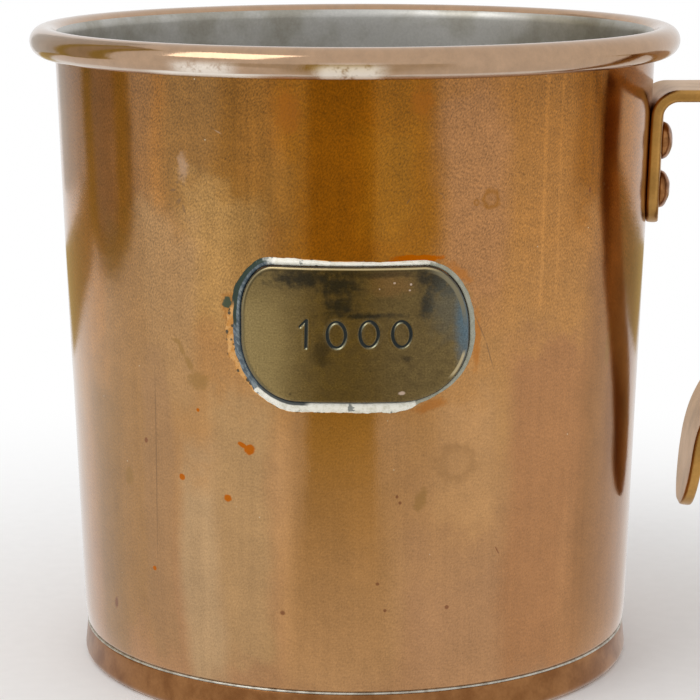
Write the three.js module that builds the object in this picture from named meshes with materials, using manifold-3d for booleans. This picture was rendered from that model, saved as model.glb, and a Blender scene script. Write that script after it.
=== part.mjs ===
// A one-litre copper measuring cup with a strap handle and a brass plaque.
// Millimetres, +Z up. The origin is the centre of the underside, on the cup's axis.
// The plaque faces -Y and the handle stands out along +X.

import * as THREE from 'three';
import { mergeVertices } from 'three/addons/utils/BufferGeometryUtils.js';
import Module from 'manifold-3d';

const wasm = await Module();
wasm.setup();

// Sheet, gaps and how finely round things are cut
const SHEET = 0.9; // copper sheet of the wall and of the base
const CLEARANCE = 0.3; // gap that seated pieces keep
const TURN_STEPS = 60; // flats round the cup
const RIVET_STEPS = 16; // flats round a rivet
const OVERCUT = 1.0; // how far a cutter runs past what it cuts

// Wall
const FOOT_HEIGHT = 6.0; // underside to the crease, which is the top of the base's lip
const WALL_BOTTOM_RADIUS = 51.6; // straight wall carried down to the crease, outside
const WALL_TOP_RADIUS = 55.4; // straight wall carried up to the rim wire, outside
const WALL_HEIGHT = 107.3; // crease to the underside of the rim bead
const CREASE_TUCK = 0.3; // how far the wall rounds in at the crease
const TUCK_HEIGHT = 5.0; // height over which it rounds in
const TUCK_STEPS = 3;

// Rim
const WIRE_DIAMETER = 3.0;
const CURL_SEAM = 0.3; // gap between the curl's free edge and the wall
const CURL_STEPS = 11;
const WIRE_STEPS = 8;

// Base
const LIP_FLARE = 0.5; // how much wider the lip is at the bottom than at the crease
const BASE_CORNER = 1.4; // outside radius where the base turns up
const CORNER_STEPS = 4;
const SOLDER_LEG = 1.8; // solder fillet inside, up the wall and along the base

// Handle: an open strap, riveted by its upper tab, whose tail hangs free beside the wall
const STRAP_WIDTH = 22.0; // at the tab, the arm and the grip
const TAIL_WIDTH = 17.5; // at the tail's end, without its rounded tip
const TAPER_RISE = 52.0; // tail's end up to where the strap starts to narrow
const STRAP_THICKNESS = 2.2;
const STRAP_EDGE = 0.6; // rounding of the strap's edges
const STRAP_FLATS = 6; // flats across the strap, which let it lie round the wall
const STRAP_STEPS = 66; // stations along the strap
const GRIP_REACH = 55.0; // wall to the inner face of the grip, at the arm's height
const ARM_DROP = 6.1; // underside of the rim bead to the top of the arm
const GRIP_DROP = 22.0; // arm to the grip's heel
const ELBOW_REACH = 12.8; // wall to the elbow, at the elbow's height
const ELBOW_RISE = 23.0; // tail's end to the elbow
const TAIL_RISE = 21.0; // crease to the tail's end
const TAIL_GAP = 9.5; // wall to the tail's inner face, at its end
const TAB_LENGTH = 24.0; // arm down to the tab's end
const ROOT_BEND = 4.0; // bend radii, along the middle of the strap
const GRIP_BEND = 10.0;
const HEEL_BEND = 12.0;
const ELBOW_BEND = 26.0;
const TAB_CORNER = 7.0; // rounding of the tab's two corners
const TIP_LENGTH = 11.0; // length of the tail's rounded tip
const TIP_STEPS = 6;
const CURL_NEAR = 2.5; // distance from the wall within which the strap is curled to it
const CURL_FAR = 10.0; // distance from the wall past which the strap is flat

// Rivets
const SHANK_RADIUS = 1.9;
const HEAD_RADIUS = 3.4;
const HEAD_HEIGHT = 1.8;
const INNER_HEAD_RADIUS = 3.6;
const INNER_HEAD_FLAT = 2.5; // radius of the flat on the inner head
const INNER_HEAD_HEIGHT = 0.9;
const DOME_STEPS = 4;
const RIVET_SPACING = 11.0; // between the two rivets of a row
const RIVET_END_GAP = 6.5; // tab's end to the lower row
const RIVET_ROW_RISE = 9.0; // lower row to the upper row

// Plaque
const PLAQUE_WIDTH = 38.6;
const PLAQUE_HEIGHT = 23.3;
const PLAQUE_TOP_LEFT = [5.6, 8.2]; // each corner is a quarter of an ellipse, this wide and tall
const PLAQUE_TOP_RIGHT = [7.8, 10.8];
const PLAQUE_BOTTOM_LEFT = [9.6, 10.8];
const PLAQUE_BOTTOM_RIGHT = [11.4, 10.4];
const PLAQUE_THICKNESS = 0.9;
const PLAQUE_RISE = 64.2; // crease to the plaque's middle
const PLAQUE_SOLDER_WIDTH = 1.4;
const PLAQUE_SOLDER_HEIGHT = 0.6;
const PLAQUE_CORNER_STEPS = 6;
const PLAQUE_TURN_STEPS = 120; // flats round the full ring that the plaque is cut from

// Places that follow from those sizes
const creaseRadius = WALL_BOTTOM_RADIUS - CREASE_TUCK;
const lipInnerRadius = creaseRadius - SHEET;
const footRadius = lipInnerRadius - CLEARANCE;
const footBottom = SHEET + CLEARANCE;
const shoulder = FOOT_HEIGHT + CLEARANCE;
const rimUnderside = FOOT_HEIGHT + WALL_HEIGHT;
const curlInner = WIRE_DIAMETER / 2 + CLEARANCE;
const beadRadius = curlInner + SHEET;
const wireHeight = rimUnderside + beadRadius;
const wireRingRadius = WALL_TOP_RADIUS + curlInner;
const wallSlope = (WALL_TOP_RADIUS - WALL_BOTTOM_RADIUS) / (wireHeight - FOOT_HEIGHT);
const wallLean = Math.atan(wallSlope);

// Outside radius of the straight wall at a height
function wallRadius(height) {
  return WALL_BOTTOM_RADIUS + wallSlope * (height - FOOT_HEIGHT);
}

// A piece turned on the cup's axis, from a profile of [radius, height]
function turned(profile, steps = TURN_STEPS) {
  const points = profile.map(([radius, height]) => new THREE.Vector2(radius, height));
  const geometry = new THREE.LatheGeometry(points, steps);
  geometry.rotateX(Math.PI / 2);
  return geometry;
}

// Points of an arc in a profile, angles in degrees from the outward direction. A tall size makes it an ellipse.
function arc(radius, height, size, from, to, steps, tall = size) {
  const points = [];
  for (let i = 0; i <= steps; i += 1) {
    const angle = THREE.MathUtils.degToRad(from + ((to - from) * i) / steps);
    points.push([radius + size * Math.cos(angle), height + tall * Math.sin(angle)]);
  }
  return points;
}

function closed(profile) {
  return [...profile, profile[0]];
}

// Solids for joining and cutting, and back again
function toSolid(geometry) {
  const bare = geometry.clone();
  bare.deleteAttribute('normal');
  bare.deleteAttribute('uv');
  const merged = mergeVertices(bare, 1e-4);
  const mesh = new wasm.Mesh({
    numProp: 3,
    vertProperties: new Float32Array(merged.attributes.position.array),
    triVerts: new Uint32Array(merged.index.array),
  });
  mesh.merge();
  return new wasm.Manifold(mesh);
}

function toGeometry(solid) {
  const mesh = solid.getMesh();
  const geometry = new THREE.BufferGeometry();
  geometry.setAttribute('position', new THREE.BufferAttribute(mesh.vertProperties, 3));
  geometry.setIndex(new THREE.BufferAttribute(mesh.triVerts, 1));
  return geometry;
}

// A flat outline as a person facing the plaque sees it, pushed through along Y
function frontPrism(shape, near, far) {
  const geometry = new THREE.ExtrudeGeometry(shape, {
    depth: far - near,
    bevelEnabled: false,
    curveSegments: PLAQUE_CORNER_STEPS,
  });
  geometry.rotateX(Math.PI / 2);
  geometry.translate(0, far, 0);
  return toSolid(geometry);
}

// Where the rivets sit, as places on the wall's outside with the direction that leaves it
function rivetPlace(side, height) {
  const radius = wallRadius(height);
  const turn = ((side * RIVET_SPACING) / 2) / radius;
  const outward = new THREE.Vector3(
    Math.cos(wallLean) * Math.cos(turn),
    Math.cos(wallLean) * Math.sin(turn),
    -Math.sin(wallLean),
  );
  const point = new THREE.Vector3(radius * Math.cos(turn), radius * Math.sin(turn), height);
  const turnOutward = new THREE.Quaternion();
  turnOutward.setFromUnitVectors(new THREE.Vector3(0, 0, 1), outward);
  return { point, turnOutward };
}

const armMiddle = rimUnderside - ARM_DROP - STRAP_THICKNESS / 2;
const tabEnd = armMiddle - TAB_LENGTH;
const tailEnd = FOOT_HEIGHT + TAIL_RISE;
const lowerRivetHeight = tabEnd + RIVET_END_GAP;
const upperRivetHeight = lowerRivetHeight + RIVET_ROW_RISE;
const rivetPlaces = {
  rivet_upper_front: rivetPlace(-1, upperRivetHeight),
  rivet_upper_back: rivetPlace(1, upperRivetHeight),
  rivet_lower_front: rivetPlace(-1, lowerRivetHeight),
  rivet_lower_back: rivetPlace(1, lowerRivetHeight),
};

// A drill that clears every rivet's shank through the wall and the strap
function rivetHoles() {
  const reach = 2 * (SHEET + CLEARANCE + STRAP_THICKNESS + OVERCUT);
  let holes = null;
  for (const { point, turnOutward } of Object.values(rivetPlaces)) {
    const drill = new THREE.CylinderGeometry(
      SHANK_RADIUS + CLEARANCE,
      SHANK_RADIUS + CLEARANCE,
      reach,
      RIVET_STEPS,
    );
    drill.rotateX(Math.PI / 2);
    drill.applyQuaternion(turnOutward);
    drill.translate(point.x, point.y, point.z);
    const hole = toSolid(drill);
    holes = holes ? holes.add(hole) : hole;
  }
  return holes;
}

const holes = rivetHoles();

// Wall: one sheet with a stepped-in foot, and a top edge curled outward round the wire
function wallGeometry() {
  const tuck = [];
  for (let i = 0; i <= TUCK_STEPS; i += 1) {
    const part = i / TUCK_STEPS;
    const height = shoulder + TUCK_HEIGHT * part;
    tuck.push([wallRadius(height) - CREASE_TUCK * (1 - part) ** 2, height]);
  }
  const freeEdge = THREE.MathUtils.radToDeg(Math.acos((CURL_SEAM - curlInner) / beadRadius));
  const round = [wireRingRadius, wireHeight];
  const insideOfCurl = arc(...round, curlInner, 180, -freeEdge, CURL_STEPS);
  const outsideOfCurl = arc(...round, beadRadius, -freeEdge, 180, CURL_STEPS + 2);
  const inner = tuck.map(([radius, height]) => [radius - SHEET, height + SHEET]).reverse();
  const profile = [
    [footRadius - SHEET, footBottom],
    [footRadius, footBottom],
    [footRadius, shoulder],
    ...tuck,
    ...insideOfCurl,
    ...outsideOfCurl,
    ...inner,
    [footRadius - SHEET, shoulder + SHEET],
  ];
  return toGeometry(toSolid(turned(closed(profile))).subtract(holes));
}

// Rim wire: a ring shut inside the curl
function rimWireGeometry() {
  const geometry = new THREE.TorusGeometry(wireRingRadius, WIRE_DIAMETER / 2, WIRE_STEPS, TURN_STEPS);
  geometry.translate(0, 0, wireHeight);
  return geometry;
}

// Base: a disc whose edge turns up outside the wall's foot and ends flush at the crease
function baseDiscGeometry() {
  const outerBottom = creaseRadius + LIP_FLARE;
  const centre = outerBottom - BASE_CORNER;
  const inside = BASE_CORNER - SHEET;
  return turned([
    [0, 0],
    ...arc(centre, BASE_CORNER, BASE_CORNER, -90, 0, CORNER_STEPS),
    [creaseRadius, FOOT_HEIGHT],
    [lipInnerRadius, FOOT_HEIGHT],
    [Math.max(lipInnerRadius, centre + inside - LIP_FLARE), BASE_CORNER],
    ...arc(lipInnerRadius - inside, BASE_CORNER, inside, 0, -90, CORNER_STEPS).slice(1),
    [0, SHEET],
  ]);
}

// Solder run inside the cup, in the corner between the wall and the base
function baseSolderGeometry() {
  const outer = footRadius - SHEET - CLEARANCE;
  return turned(closed([
    [outer - SOLDER_LEG, footBottom],
    [outer, footBottom],
    [outer, footBottom + SOLDER_LEG],
  ]));
}

// Middle line of the strap in the upright plane through the handle, as [distance, height, bend]
const strapHalf = STRAP_THICKNESS / 2;
const gripMiddle = wallRadius(armMiddle) + GRIP_REACH + strapHalf;
const elbowHeight = tailEnd + ELBOW_RISE;
const elbowMiddle = wallRadius(elbowHeight) + ELBOW_REACH;
const tailMiddle = wallRadius(tailEnd) + TAIL_GAP + strapHalf;

function strapCorners() {
  const seat = (height) => wallRadius(height) + CLEARANCE + strapHalf;
  return [
    [seat(tabEnd - OVERCUT), tabEnd - OVERCUT, 0],
    [seat(armMiddle), armMiddle, ROOT_BEND],
    [gripMiddle, armMiddle, GRIP_BEND],
    [gripMiddle, armMiddle - GRIP_DROP, HEEL_BEND],
    [elbowMiddle, elbowHeight, ELBOW_BEND],
    [tailMiddle, tailEnd - OVERCUT, 0],
  ];
}

// A path of straight runs whose corners are rounded with arcs
function roundedPath(corners) {
  const path = new THREE.Path();
  path.moveTo(corners[0][0], corners[0][1]);
  for (let i = 1; i < corners.length - 1; i += 1) {
    const here = new THREE.Vector2(corners[i][0], corners[i][1]);
    const back = new THREE.Vector2(corners[i - 1][0], corners[i - 1][1]).sub(here).normalize();
    const ahead = new THREE.Vector2(corners[i + 1][0], corners[i + 1][1]).sub(here).normalize();
    const half = Math.acos(back.dot(ahead)) / 2;
    const bend = corners[i][2];
    const run = bend / Math.tan(half);
    const start = here.clone().addScaledVector(back, run);
    const end = here.clone().addScaledVector(ahead, run);
    const middle = back.clone().add(ahead).normalize();
    const centre = here.clone().addScaledVector(middle, bend / Math.sin(half));
    const clockwise = back.cross(ahead) > 0;
    const from = Math.atan2(start.y - centre.y, start.x - centre.x);
    const to = Math.atan2(end.y - centre.y, end.x - centre.x);
    path.lineTo(start.x, start.y);
    path.absarc(centre.x, centre.y, bend, from, to, clockwise);
  }
  const last = corners[corners.length - 1];
  path.lineTo(last[0], last[1]);
  return path;
}

// The same path stood up in space, in the plane of the handle
class UprightCurve extends THREE.Curve {
  constructor(path) {
    super();
    this.path = path;
  }

  getPoint(t, target = new THREE.Vector3()) {
    const point = this.path.getPoint(t);
    return target.set(point.x, 0, point.y);
  }
}

// Section of the strap: flat faces in short flats, with rounded edges
function strapSection() {
  const half = STRAP_WIDTH / 2;
  const thick = strapHalf;
  const flat = half - STRAP_EDGE;
  const shape = new THREE.Shape();
  shape.moveTo(-flat, -thick);
  for (let i = 1; i <= STRAP_FLATS; i += 1) {
    shape.lineTo(-flat + (2 * flat * i) / STRAP_FLATS, -thick);
  }
  shape.lineTo(half, -thick + STRAP_EDGE);
  shape.lineTo(half, thick - STRAP_EDGE);
  for (let i = STRAP_FLATS; i >= 0; i -= 1) {
    shape.lineTo(-flat + (2 * flat * i) / STRAP_FLATS, thick);
  }
  shape.lineTo(-half, thick - STRAP_EDGE);
  shape.lineTo(-half, -thick + STRAP_EDGE);
  return shape;
}

// Share of its full width that the strap has at a height. It narrows towards the tail's end.
function strapShare(height) {
  const low = (tailEnd + TAPER_RISE - height) / TAPER_RISE;
  return 1 - (1 - TAIL_WIDTH / STRAP_WIDTH) * THREE.MathUtils.clamp(low, 0, 1);
}

// Narrows the strap towards its tail, and lays its tab round the wall
function fitStrap(geometry) {
  const position = geometry.attributes.position;
  for (let i = 0; i < position.count; i += 1) {
    const x = position.getX(i);
    const height = position.getZ(i);
    const y = position.getY(i) * strapShare(height);
    const away = x - wallRadius(height) - CLEARANCE - STRAP_THICKNESS;
    const near = 1 - THREE.MathUtils.smoothstep(away, CURL_NEAR, CURL_FAR);
    const curl = height < tabEnd - 2 * OVERCUT ? 0 : near;
    position.setX(i, x - curl * x * (1 - Math.cos(y / x)));
    position.setY(i, y + curl * (x * Math.sin(y / x) - y));
  }
}

// The waste cut off one end of the strap, below an outline with rounded corners
function endWaste(end, side, corner, near, far) {
  const [wide, tall, steps] = corner;
  const inset = side - wide;
  const top = end + tall;
  const shape = new THREE.Shape();
  shape.moveTo(-side - OVERCUT, end - 2 * OVERCUT);
  shape.lineTo(-side - OVERCUT, top);
  for (const [across, up] of [
    ...arc(-inset, top, wide, 180, 270, steps, tall),
    ...arc(inset, top, wide, 270, 360, steps, tall).slice(inset > 0 ? 0 : 1),
  ]) {
    shape.lineTo(across, up);
  }
  shape.lineTo(side + OVERCUT, top);
  shape.lineTo(side + OVERCUT, end - 2 * OVERCUT);
  const geometry = new THREE.ExtrudeGeometry(shape, { depth: far - near, bevelEnabled: false });
  const upright = new THREE.Matrix4().makeBasis(
    new THREE.Vector3(0, 1, 0),
    new THREE.Vector3(0, 0, 1),
    new THREE.Vector3(1, 0, 0),
  );
  geometry.applyMatrix4(upright);
  geometry.translate(near, 0, 0);
  return toSolid(geometry);
}

// The tab's lower end is square to the cup, with two round corners
function tabWaste() {
  const seats = [wallRadius(tabEnd), wallRadius(tabEnd + TAB_CORNER)];
  const curlSag = STRAP_WIDTH ** 2 / (8 * wallRadius(tabEnd));
  const near = Math.min(...seats) - curlSag - OVERCUT;
  const far = Math.max(...seats) + CLEARANCE + STRAP_THICKNESS + OVERCUT;
  return endWaste(tabEnd, STRAP_WIDTH / 2, [TAB_CORNER, TAB_CORNER, CORNER_STEPS], near, far);
}

// The tail ends in a rounded tip, as wide as the strap is where the tip starts
function tailWaste() {
  const side = (STRAP_WIDTH / 2) * strapShare(tailEnd + TIP_LENGTH);
  const reach = Math.abs(elbowMiddle - tailMiddle) + STRAP_THICKNESS + OVERCUT;
  const corner = [side, TIP_LENGTH, TIP_STEPS];
  return endWaste(tailEnd, side, corner, tailMiddle - reach, tailMiddle + reach);
}

function handleGeometry() {
  const geometry = new THREE.ExtrudeGeometry(strapSection(), {
    steps: STRAP_STEPS,
    bevelEnabled: false,
    extrudePath: new UprightCurve(roundedPath(strapCorners())),
  });
  fitStrap(geometry);
  const strap = toSolid(geometry).subtract(tabWaste()).subtract(tailWaste());
  return toGeometry(strap.subtract(holes));
}

// A rivet along its own +Z, with the wall's outside at zero
function rivetGeometry() {
  const innerSag = INNER_HEAD_RADIUS ** 2 / (2 * WALL_BOTTOM_RADIUS);
  const inner = -SHEET - CLEARANCE - innerSag;
  const outer = 2 * CLEARANCE + STRAP_THICKNESS;
  const dome = [];
  for (let i = 1; i < DOME_STEPS; i += 1) {
    const angle = ((Math.PI / 2) * i) / DOME_STEPS;
    dome.push([HEAD_RADIUS * Math.cos(angle), outer + HEAD_HEIGHT * Math.sin(angle)]);
  }
  return turned([
    [0, inner - INNER_HEAD_HEIGHT],
    [INNER_HEAD_FLAT, inner - INNER_HEAD_HEIGHT],
    [INNER_HEAD_RADIUS, inner],
    [SHANK_RADIUS, inner],
    [SHANK_RADIUS, outer],
    [HEAD_RADIUS, outer],
    ...dome,
    [0, outer + HEAD_HEIGHT],
  ], RIVET_STEPS);
}

// Plaque outline, grown by a margin: a wide tablet whose four hand-cut corners differ
function plaqueOutline(margin) {
  const half = PLAQUE_WIDTH / 2 + margin;
  const tall = PLAQUE_HEIGHT / 2 + margin;
  const quarter = Math.PI / 2;
  const shape = new THREE.Shape();
  const corners = [
    [PLAQUE_TOP_RIGHT, 1, 1],
    [PLAQUE_TOP_LEFT, -1, 1],
    [PLAQUE_BOTTOM_LEFT, -1, -1],
    [PLAQUE_BOTTOM_RIGHT, 1, -1],
  ];
  corners.forEach(([[wide, high], right, up], turn) => {
    const across = wide + margin;
    const rise = high + margin;
    const from = quarter * turn;
    shape.absellipse(right * (half - across), up * (tall - rise), across, rise, from, from + quarter);
  });
  return shape;
}

// A thin shell that lies on the wall round the plaque's height
function shellOnWall(thickness) {
  const reach = PLAQUE_HEIGHT / 2 + PLAQUE_SOLDER_WIDTH + 2 * CLEARANCE;
  const middle = FOOT_HEIGHT + PLAQUE_RISE;
  const low = middle - reach;
  const high = middle + reach;
  const profile = closed([
    [wallRadius(low) + CLEARANCE, low],
    [wallRadius(low) + CLEARANCE + thickness, low],
    [wallRadius(high) + CLEARANCE + thickness, high],
    [wallRadius(high) + CLEARANCE, high],
  ]);
  return toSolid(turned(profile, PLAQUE_TURN_STEPS));
}

// A tablet-shaped punch through the front of the cup at the plaque's height
function plaquePunch(margin) {
  const near = -(WALL_TOP_RADIUS + CLEARANCE + PLAQUE_THICKNESS + PLAQUE_SOLDER_HEIGHT + OVERCUT);
  const punch = frontPrism(plaqueOutline(margin), near, 0);
  return punch.translate([0, 0, FOOT_HEIGHT + PLAQUE_RISE]);
}

function plaqueGeometry() {
  return toGeometry(shellOnWall(PLAQUE_THICKNESS).intersect(plaquePunch(0)));
}

function plaqueSolderGeometry() {
  const ring = plaquePunch(CLEARANCE + PLAQUE_SOLDER_WIDTH).subtract(plaquePunch(CLEARANCE));
  return toGeometry(shellOnWall(PLAQUE_SOLDER_HEIGHT).intersect(ring));
}

// Finishes: colour, roughness and metalness
const COPPER = [0xa8683c, 0.32, 1.0];
const COPPER_FOOT = [0x8a5230, 0.4, 1.0];
const BRASS = [0x77663a, 0.42, 1.0];
const SOLDER = [0xb9bab2, 0.55, 0.8];
const IRON = [0x6d6a66, 0.5, 1.0];

function piece(name, geometry, [colour, roughness, metalness]) {
  const material = new THREE.MeshStandardMaterial({ color: colour, roughness, metalness });
  const mesh = new THREE.Mesh(geometry, material);
  mesh.name = name;
  return mesh;
}

const cup = new THREE.Group();
cup.add(piece('wall', wallGeometry(), COPPER));
cup.add(piece('rim_wire', rimWireGeometry(), IRON));
cup.add(piece('base_disc', baseDiscGeometry(), COPPER_FOOT));
cup.add(piece('base_solder', baseSolderGeometry(), SOLDER));
cup.add(piece('handle', handleGeometry(), COPPER));
cup.add(piece('plaque', plaqueGeometry(), BRASS));
cup.add(piece('plaque_solder', plaqueSolderGeometry(), SOLDER));

for (const [name, { point, turnOutward }] of Object.entries(rivetPlaces)) {
  const rivet = piece(name, rivetGeometry(), COPPER);
  rivet.position.copy(point);
  rivet.quaternion.copy(turnOutward);
  cup.add(rivet);
}

export default cup;
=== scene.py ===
import math

import bmesh
import bpy
from mathutils import Euler, Matrix, Vector, noise


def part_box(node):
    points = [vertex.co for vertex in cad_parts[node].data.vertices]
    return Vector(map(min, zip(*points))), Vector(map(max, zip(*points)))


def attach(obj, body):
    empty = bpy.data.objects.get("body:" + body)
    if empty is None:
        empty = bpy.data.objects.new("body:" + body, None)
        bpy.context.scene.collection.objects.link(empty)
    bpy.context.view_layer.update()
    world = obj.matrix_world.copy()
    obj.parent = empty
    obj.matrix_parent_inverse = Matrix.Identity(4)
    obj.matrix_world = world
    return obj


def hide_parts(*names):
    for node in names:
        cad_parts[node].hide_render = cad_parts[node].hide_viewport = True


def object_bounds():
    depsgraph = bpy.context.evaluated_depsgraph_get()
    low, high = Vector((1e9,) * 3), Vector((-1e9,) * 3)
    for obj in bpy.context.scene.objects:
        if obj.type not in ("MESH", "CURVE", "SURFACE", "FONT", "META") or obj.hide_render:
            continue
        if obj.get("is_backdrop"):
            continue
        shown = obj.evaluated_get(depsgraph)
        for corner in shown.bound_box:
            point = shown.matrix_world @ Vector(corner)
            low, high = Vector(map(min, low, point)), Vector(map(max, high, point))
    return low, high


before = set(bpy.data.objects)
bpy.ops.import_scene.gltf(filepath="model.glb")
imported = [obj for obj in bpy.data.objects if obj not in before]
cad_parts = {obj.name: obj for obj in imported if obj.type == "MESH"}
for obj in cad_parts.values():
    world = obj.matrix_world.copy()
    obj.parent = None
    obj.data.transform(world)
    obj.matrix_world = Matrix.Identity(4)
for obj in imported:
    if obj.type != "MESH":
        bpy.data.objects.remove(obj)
cad_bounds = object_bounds()

MM = 0.001

# Sheet and gaps
SHEET = 0.9 * MM
CLEARANCE = 0.3 * MM
SEAT_GAP = 0.05 * MM

# Wall, rim and base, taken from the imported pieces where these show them
WIRE_RADIUS = 1.5 * MM
CREASE_TUCK = 0.3 * MM
TUCK_HEIGHT = 5.0 * MM
LIP_FLARE = 0.5 * MM
BASE_CORNER = 1.4 * MM
_, wall_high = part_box("wall")
base_low, base_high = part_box("base_disc")
BEAD_RADIUS = WIRE_RADIUS + CLEARANCE + SHEET
WIRE_HEIGHT = wall_high.z - BEAD_RADIUS
WIRE_RING = wall_high.x - BEAD_RADIUS
WALL_TOP_RADIUS = WIRE_RING - WIRE_RADIUS - CLEARANCE
CREASE_HEIGHT = base_high.z
CREASE_RADIUS = base_high.x - LIP_FLARE
WALL_BOTTOM_RADIUS = CREASE_RADIUS + CREASE_TUCK
WALL_SLOPE = (WALL_TOP_RADIUS - WALL_BOTTOM_RADIUS) / (WIRE_HEIGHT - CREASE_HEIGHT)
WALL_LEAN = math.atan(WALL_SLOPE)
MEAN_RADIUS = (WALL_TOP_RADIUS + WALL_BOTTOM_RADIUS) / 2
SOLDER_LEG = 1.8 * MM
TURN_STEPS = 240
# Points closer than this are joined, where a turned shape or a loft closes
TURNED_WELD = 0.001 * MM
LOFTED_WELD = 0.0005 * MM

# Plaque
plaque_low, plaque_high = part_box("plaque")
PLAQUE_HALF_WIDTH = (plaque_high.x - plaque_low.x) / 2
PLAQUE_HALF_HEIGHT = (plaque_high.z - plaque_low.z) / 2
PLAQUE_MIDDLE = (plaque_high.z + plaque_low.z) / 2
PLAQUE_THICKNESS = 0.9 * MM
PLAQUE_TOP_LEFT = (5.6 * MM, 8.2 * MM)
PLAQUE_TOP_RIGHT = (7.8 * MM, 10.8 * MM)
PLAQUE_BOTTOM_LEFT = (9.6 * MM, 10.8 * MM)
PLAQUE_BOTTOM_RIGHT = (11.4 * MM, 10.4 * MM)

# Handle
STRAP_WIDTH = 22.0 * MM
TAIL_WIDTH = 17.5 * MM
TAPER_RISE = 52.0 * MM
STRAP_THICKNESS = 2.2 * MM
STRAP_EDGE = 0.7 * MM
GRIP_REACH = 55.0 * MM
ARM_DROP = 6.1 * MM
GRIP_DROP = 22.0 * MM
ELBOW_REACH = 12.8 * MM
ELBOW_RISE = 23.0 * MM
TAIL_RISE = 21.0 * MM
TAIL_GAP = 9.5 * MM
TAB_LENGTH = 24.0 * MM
ROOT_BEND = 4.0 * MM
GRIP_BEND = 10.0 * MM
HEEL_BEND = 12.0 * MM
ELBOW_BEND = 26.0 * MM
TAB_CORNER = 7.0 * MM
TIP_LENGTH = 11.0 * MM
TIP_FLAT = 0.8 * MM
CURL_NEAR = 2.5 * MM
CURL_FAR = 10.0 * MM
ARM_MIDDLE = WIRE_HEIGHT - BEAD_RADIUS - ARM_DROP - STRAP_THICKNESS / 2
TAB_END = ARM_MIDDLE - TAB_LENGTH
TAIL_END = CREASE_HEIGHT + TAIL_RISE

# Rivets
SHANK_RADIUS = 1.9 * MM
HEAD_RADIUS = 3.4 * MM
HEAD_HEIGHT = 1.8 * MM
INNER_HEAD_RADIUS = 3.6 * MM
INNER_HEAD_FLAT = 2.5 * MM
INNER_HEAD_HEIGHT = 0.9 * MM
RIVET_SPACING = 11.0 * MM
RIVET_END_GAP = 6.5 * MM
RIVET_ROW_RISE = 9.0 * MM


def wall_radius(height):
    """Outside radius of the straight wall at a height."""
    return WALL_BOTTOM_RADIUS + WALL_SLOPE * (height - CREASE_HEIGHT)


def smooth_step(low, high, value):
    """0 below low, 1 above high, and smooth between."""
    share = min(max((value - low) / (high - low), 0.0), 1.0)
    return share * share * (3 - 2 * share)


def lumps(x, y, z, size):
    """Smooth noise from about -1 to 1, with lumps of that size."""
    return noise.noise(Vector((x, y, z)) / size)


def swell(x, y, z, depth, size):
    """Lumps of that size that rise and fall by about that depth."""
    return depth * lumps(x, y, z, size)


def round_drop(share):
    """How far a quarter circle has dropped at a share of its radius, from 0 to 1."""
    return 1 - math.sqrt(max(1 - share * share, 0.0))


def arc_points(radius, height, size, start, stop, steps):
    """Points of an arc in a profile, angles in degrees from the outward direction."""
    points = []
    for step in range(steps + 1):
        angle = math.radians(start + (stop - start) * step / steps)
        points.append((radius + size * math.cos(angle), height + size * math.sin(angle)))
    return points


def straight_points(start, stop, steps):
    """Points between two profile points, without the first and the last."""
    points = []
    for step in range(1, steps):
        share = step / steps
        points.append(tuple(a + (b - a) * share for a, b in zip(start, stop)))
    return points


# Making pieces


def new_object(name, bm, materials):
    """Turns a bmesh into an object of the scene."""
    mesh = bpy.data.meshes.new(name)
    bm.to_mesh(mesh)
    bm.free()
    for material in materials:
        mesh.materials.append(material)
    made = bpy.data.objects.new(name, mesh)
    bpy.context.scene.collection.objects.link(made)
    return made


def finished(name, bm, materials, slot, *nodes):
    """Turns a bmesh into a piece of the cup that rides on the body and stands for the CAD nodes."""
    bmesh.ops.recalc_face_normals(bm, faces=bm.faces)
    for face in bm.faces:
        face.smooth = True
    piece = new_object(name, bm, materials)
    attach(piece, "root")
    if nodes:
        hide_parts(*nodes)


def turned(profile, closed, steps=TURN_STEPS):
    """A bmesh spun on the cup's axis from a profile of (radius, height)."""
    bm = bmesh.new()
    verts = [bm.verts.new((radius, 0, height)) for radius, height in profile]
    edges = [bm.edges.new(pair) for pair in zip(verts, verts[1:])]
    if closed:
        edges.append(bm.edges.new((verts[-1], verts[0])))
    bmesh.ops.spin(
        bm,
        geom=verts + edges,
        axis=(0, 0, 1),
        cent=(0, 0, 0),
        angle=math.tau,
        steps=steps,
        use_merge=True,
    )
    bmesh.ops.remove_doubles(bm, verts=bm.verts, dist=TURNED_WELD)
    return bm


def lofted(columns, rows, place, closed=False, **marks):
    """A grid whose points are put in place by a function of (column share, row share). Each mark is such a
    function too, and its number is kept on the points under the mark's name."""
    bm = bmesh.new()
    bmesh.ops.create_grid(bm, x_segments=columns, y_segments=rows, size=1)
    for name in marks:
        bm.verts.layers.float.new(name)
    for vert in bm.verts:
        column, row = (vert.co.x + 1) / 2, (vert.co.y + 1) / 2
        for name, mark in marks.items():
            vert[bm.verts.layers.float[name]] = mark(column, row)
        vert.co = place(column, row)
    if closed:
        bmesh.ops.remove_doubles(bm, verts=bm.verts, dist=LOFTED_WELD)
    return bm


def add_back(bm, place):
    """Makes a sheet solid: a second face of it, put in place by a function of each point, and its edges."""
    back = bmesh.ops.extrude_face_region(bm, geom=bm.faces[:], use_keep_orig=True)
    for item in back["geom"]:
        if isinstance(item, bmesh.types.BMVert):
            item.co = place(item.co)


def push_out(vert, distance):
    """Moves a point straight away from the cup's axis."""
    vert.co += Vector((vert.co.x, vert.co.y, 0)).normalized() * distance


def path_lengths(points):
    """The length of a path up to each of its points."""
    lengths = [0.0]
    for here, there in zip(points, points[1:]):
        lengths.append(lengths[-1] + (there - here).length)
    return lengths


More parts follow.
